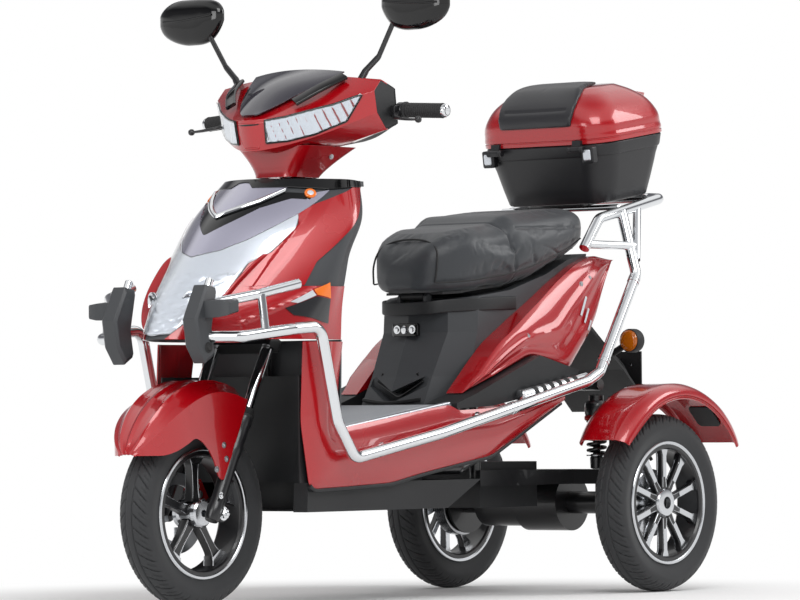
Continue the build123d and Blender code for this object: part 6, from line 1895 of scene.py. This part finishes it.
@dataclass
class TailPanels:
    """The red panels beside the seat base, folded inwards at their edges, with stripes and bolts."""

    upper: tuple = ((556, 461.5), (472.6, 536.8), (424.9, 576), (317.6, 638.1), (252, 674),
                    (180.5, 716.6), (97, 759.1), (25.6, 782), (-40, 772.2))
    lower: tuple = ((556, 461), (430, 507), (317.6, 546.6), (240, 531), (171, 513.9), (110, 578),
                    (49.4, 641.4), (5, 707), (-40, 771.5))

    def out(self, z: Array) -> Array:
        """How far out the panel stands at a height, as the CAD panel does."""
        return np.interp(z, [455, 501, 599, 791], [176, 195, 195, 156])

    def build(self) -> None:
        """Builds each panel as a closed ring of rows from its upper edge over its face and back."""
        one, two = smooth_corner(list(self.upper), 90), smooth_corner(list(self.lower), 90)
        share = np.linspace(0, 1, 22)[:, None, None]
        plan = one[None] * (1 - share) + two[None] * share
        s = share[..., 0]
        depth = self.out(plan[..., 1])
        fold = 9 * np.abs(2 * s - 1) ** 7
        ridge = 3.0 * held(1 - np.abs(s - 0.42) / 0.1)
        dish = 4.0 * held(1 - np.abs(s - 0.74) / 0.16)
        face = np.stack([plan[..., 0], depth - fold + ridge - dish - 3.0, plan[..., 1]], -1)
        first = face[0] * np.array([1, 0, 1]) + np.array([0, 130.5, 0])
        last = face[-1] * np.array([1, 0, 1]) + np.array([0, 130.5, 0])
        rows = np.concatenate([first[None], face, last[None]]).swapaxes(0, 1)
        shape = Shape().solid(rows)
        shape.both().piece(
            "tail_panel_skins", Body.ROOT, [SHOP.red], ("tail_panels",), bevel_mm=1.0, sharp_deg=28)
        bolts, marks = Shape(), Shape()
        for x, z in ((60, 726), (98, 712), (330, 590)):
            add_bolt(bolts, (x, float(self.out(np.array(z))) - 3.5, z), (0, 1, 0), 5.0, 3.0)
        bolts.both().piece("tail_panel_bolts", Body.ROOT, [SHOP.steel])
        for k, length in enumerate((58.0, 44.0, 30.0)):
            line = straight([(120 - 9 * k, 640 - 17 * k),
                             (120 - 9 * k - length * 0.55, 640 - 17 * k + length * 0.75)], 12)
            y = self.out(line[:, 1]) - 2.0
            path = np.stack([line[:, 0], y, line[:, 1]], 1)
            marks.bar(path, rounded_box(1.2, 7.0 - k, 0.5, 3), (0.75, 0, 0.55))
        marks.both().piece("tail_panel_stripes", Body.ROOT, [SHOP.pale])


@dataclass
class SeatBaseDetails:
    """Details on the seat base: collar, lock plate with two screws, V vent slats and a border."""

    def build(self) -> None:
        """Builds the details on the CAD moulding."""
        dark, bright = Shape(), Shape()
        collar = smooth(
            [(300, -131, 668), (420, -130, 664), (497, -96, 660), (530, -60, 655), (538, 0, 653),
             (530, 60, 655), (497, 96, 660), (420, 130, 664), (300, 131, 668)], 80)
        dark.bar(collar, rounded_box(7, 30, 3, 4))
        plate = rounded_box(74, 30, 6, 5)
        dark.solid(facing(plate, ((531, 1.0), (540, 1.0), (542, 0.93)), 0, 606), 1)
        for y in (-22, 22):
            add_bolt(bright, (541.5, y, 607), (1, 0, 0), 6.5, 3.0)
        bright.turned([(0, 9), (2, 9.5), (3, 8), (3, 3)], (541, 0, 606), (545, 0, 606), 24)
        for k in range(3):
            z = 470 + 13 * k
            line = np.array([(558, -66 + 6 * k, z + 20 - 5 * k), (566, 0, z - 14),
                             (558, 66 - 6 * k, z + 20 - 5 * k)], float)
            dark.bar(straight(line, 20), rounded_box(9, 3, 1, 3), (1, 0, 0.2), slot=1)
        border = np.array([(590, -84, 448), (604, 0, 440), (590, 84, 448)], float)
        dark.bar(smooth(border, 30), rounded_box(5, 9, 2, 3))
        dark.piece("seat_base_trim", Body.ROOT, [SHOP.black, SHOP.gloss], bevel_mm=0.6)
        bright.piece("seat_base_lock", Body.ROOT, [SHOP.chrome])


@dataclass
class RearEnd:
    """The rear fenders, lamps, springs, indicators and mudguard details."""

    centre: tuple = (-12.0, REAR_Y, 210.0)
    radius: float = 268.0

    def fenders(self) -> None:
        """Builds both fenders: a folded section turned about its centre, with rolled edge beads."""
        angle = np.radians(np.linspace(-60.5, 58.2, 110))
        share = np.linspace(-1, 1, 110)
        depth = 34 - 10 * np.abs(share) ** 6
        half = [(0, 0.6), (23, 0.4), (43, 0.3), (47, 1.0), (58, 5.5), (68, 12), (71, 18)]
        y = np.array([p[0] for p in half], float)
        drop = np.array([p[1] for p in half], float)
        skirt = np.stack([np.full(110, 71.5), depth * 0.70, np.full(110, 68.8), depth * 0.76,
                          np.full(110, 71.6), depth * 0.84, np.full(110, 69.0), depth * 0.90,
                          np.full(110, 71.8), depth], 1).reshape(110, 5, 2)
        rows = np.concatenate([np.broadcast_to(np.stack([y, drop], 1), (110, 7, 2)), skirt], 1)
        whole = np.concatenate([rows[:, :0:-1] * np.array([-1, 1]), rows], 1)
        narrow = 1 - 0.06 * np.abs(share[:, None]) ** 8
        reach = self.radius - whole[..., 1]
        points = np.stack(
            [self.centre[0] + np.sin(angle)[:, None] * reach, self.centre[1] + whole[..., 0] * narrow,
             self.centre[2] + np.cos(angle)[:, None] * reach], -1)
        Shape().shell(points[:, ::-1], 3.0).both().piece(
            "rear_fender_shells", Body.ROOT, [SHOP.red], ("rear_fenders",), bevel_mm=0.6, sharp_deg=30)
        bolts = Shape()
        for turn in (-14.0, 14.0):
            a = math.radians(turn)
            add_bolt(bolts, (self.centre[0] + 267 * math.sin(a), 262, self.centre[2] + 267 * math.cos(a)),
                     (math.sin(a), 0, math.cos(a)), 5.5, 4.0)
        bolts.both().piece("rear_fender_bolts", Body.ROOT, [SHOP.steel])

    def lamps(self) -> None:
        """Builds the tail lamps: rounded blocks that stand on the fenders, red over a black foot."""
        shape = Shape()
        a = math.radians(-43)
        away = np.array([math.sin(a), 0, math.cos(a)])
        side = np.array([math.cos(a), 0, -math.sin(a)])
        box = rounded_box(66, 64, 12, 6)
        for start, end, slot, scales in ((263, 276, 1, (1.0, 1.0, 0.98)), (276, 291, 0, (0.92, 0.90, 0.72))):
            rows = []
            for reach, s in zip((start, end - 4, end), scales):
                rows.append(np.array(self.centre) + away * reach
                            + box[:, :1] * s * side + box[:, 1:] * s * np.array([0, 1, 0]))
            shape.solid(np.stack(rows), slot)
        shape.both().piece(
            "tail_lamp_lenses", Body.ROOT, [SHOP.stop, SHOP.black], ("tail_lamps",), bevel_mm=1.0)

    def springs(self) -> None:
        """Builds the shocks: body, coil, red collar and canister round one upright line."""
        shape = Shape()
        low, high = (86.0, 200.0, 284.5), (86.0, 200.0, 466.0)
        shape.turned([(0, 9), (2, 15), (26, 16), (30, 13), (36, 9), (140, 9), (140, 5)], low, high, 28)
        turn = np.linspace(0, 6.0, 220)
        height = 316 + 13.5 * turn
        coil = np.stack([86 + 20.5 * np.cos(turn * 2 * math.pi), 200 + 20.5 * np.sin(turn * 2 * math.pi),
                         height], 1)
        shape.tube(coil, 3.6, 10, (0, 0, 1), 3)
        shape.turned([(112, 20), (112, 26), (115, 28), (121, 28), (124, 26), (124, 20)], low, high, 32,
                     slot=1)
        shape.turned([(123, 20), (123, 25), (128, 27), (150, 27), (156, 23), (158, 17), (170, 17),
                      (172, 10)], low, high, 32)
        shape.turned([(30, 17), (30, 24), (33, 24), (33, 17)], low, high, 28, slot=2)
        shape.both().piece("shock_units", Body.ROOT, [SHOP.enamel, SHOP.anodised, SHOP.steel, SHOP.enamel],
                           ("shock_absorbers",))

    def indicators(self) -> None:
        """Builds the indicators: an amber dome front and rear in a black rim."""
        shape = Shape()
        for hand in (1, -1):
            low, high = (-116.0, hand * 170.0, 583.0), (-76.0, hand * 170.0, 583.0)
            shape.turned([(7, 20), (7, 27), (10, 28), (30, 28), (33, 27), (33, 20)], low, high, 32, slot=1)
            shape.turned([(30, 25), (34, 25), (37, 22), (39.4, 15), (40, 7), (40, 0.2)], low, high, 32)
            shape.turned([(0, 0.2), (0, 7), (0.6, 15), (3, 22), (6, 25), (10, 25)], low, high, 32)
        shape.piece("indicator_lamps", Body.ROOT, [SHOP.amber, SHOP.rubber], ("indicators",))

    def mudguard(self) -> None:
        """Adds the mudguard's raised rib panel, its bolts and the bare plate holder's face."""
        shape, bolts = Shape(), Shape()
        u = np.linspace(0, 1, 30)[:, None]
        y = np.linspace(-100, 100, 81)[None, :]
        line = np.array([(-238, 425), (-153, 523), (60, 667)], float)
        path = straight(line, 30)
        ahead = unit(np.gradient(path, axis=0))
        rib = 3.0 * held(np.cos(y / 25 * 2 * math.pi) * 2) * held(np.minimum(u, 1 - u) / 0.06)
        lift = 3.0 + rib
        points = np.stack([path[:, :1] - ahead[:, 1:] * lift, np.broadcast_to(y, lift.shape),
                           path[:, 1:] + ahead[:, :1] * lift], -1)
        shape.shell(points, 2.0)
        shape.piece("mudguard_rib_panel", Body.ROOT, [SHOP.black], sharp_deg=30)
        plate = rounded_box(176, 126, 10, 5)
        face = Shape().solid(facing(plate, ((-240.2, 1.0), (-241.6, 1.0), (-242.2, 0.97)), 0, 492))
        face.piece("plate_holder_face", Body.ROOT, [SHOP.pale])
        for y_bolt in (-62.5, 62.5):
            add_bolt(bolts, (-242, y_bolt, 528), (-1, 0, 0), 5.5, 3.0)
        bolts.piece("plate_holder_bolts", Body.ROOT, [SHOP.steel])

    def build(self) -> None:
        """Builds the rear end."""
        self.fenders()
        self.lamps()
        self.springs()
        self.indicators()
        self.mudguard()


GROUPS: tuple = (
    Wheel("front", Body.FRONT_WHEEL, FRONT_AXLE, 1.0, 5, FRONT_SPOKE, FRONT_HUB, FRONT_PAD),
    Wheel("rear_left", Body.LEFT_WHEEL, (0.0, REAR_Y, WHEEL_MM), 1.0, 10, REAR_SPOKE, REAR_HUB, REAR_PAD,
          14.0),
    Wheel("rear_right", Body.RIGHT_WHEEL, (0.0, -REAR_Y, WHEEL_MM), -1.0, 10, REAR_SPOKE, REAR_HUB, REAR_PAD,
          14.0),
    Fork(), FrontFender(), Caliper(), LegShield(), ChromeTubes(), Horns(), Saddle(), Backrest(), Head(),
    Controls(), TopCase(), Floor(), Sills(), TailPanels(), SeatBaseDetails(), RearEnd(),
)


def main() -> None:
    """Builds the studio and every sub-assembly in order."""
    logging.basicConfig(level=logging.INFO, format="%(name)s %(message)s")
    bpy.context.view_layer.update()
    Studio().build()
    dress_frame()
    for group in GROUPS:
        group.build()
        log.info("%s done", type(group).__name__)


if __name__ == "__main__":
    main()
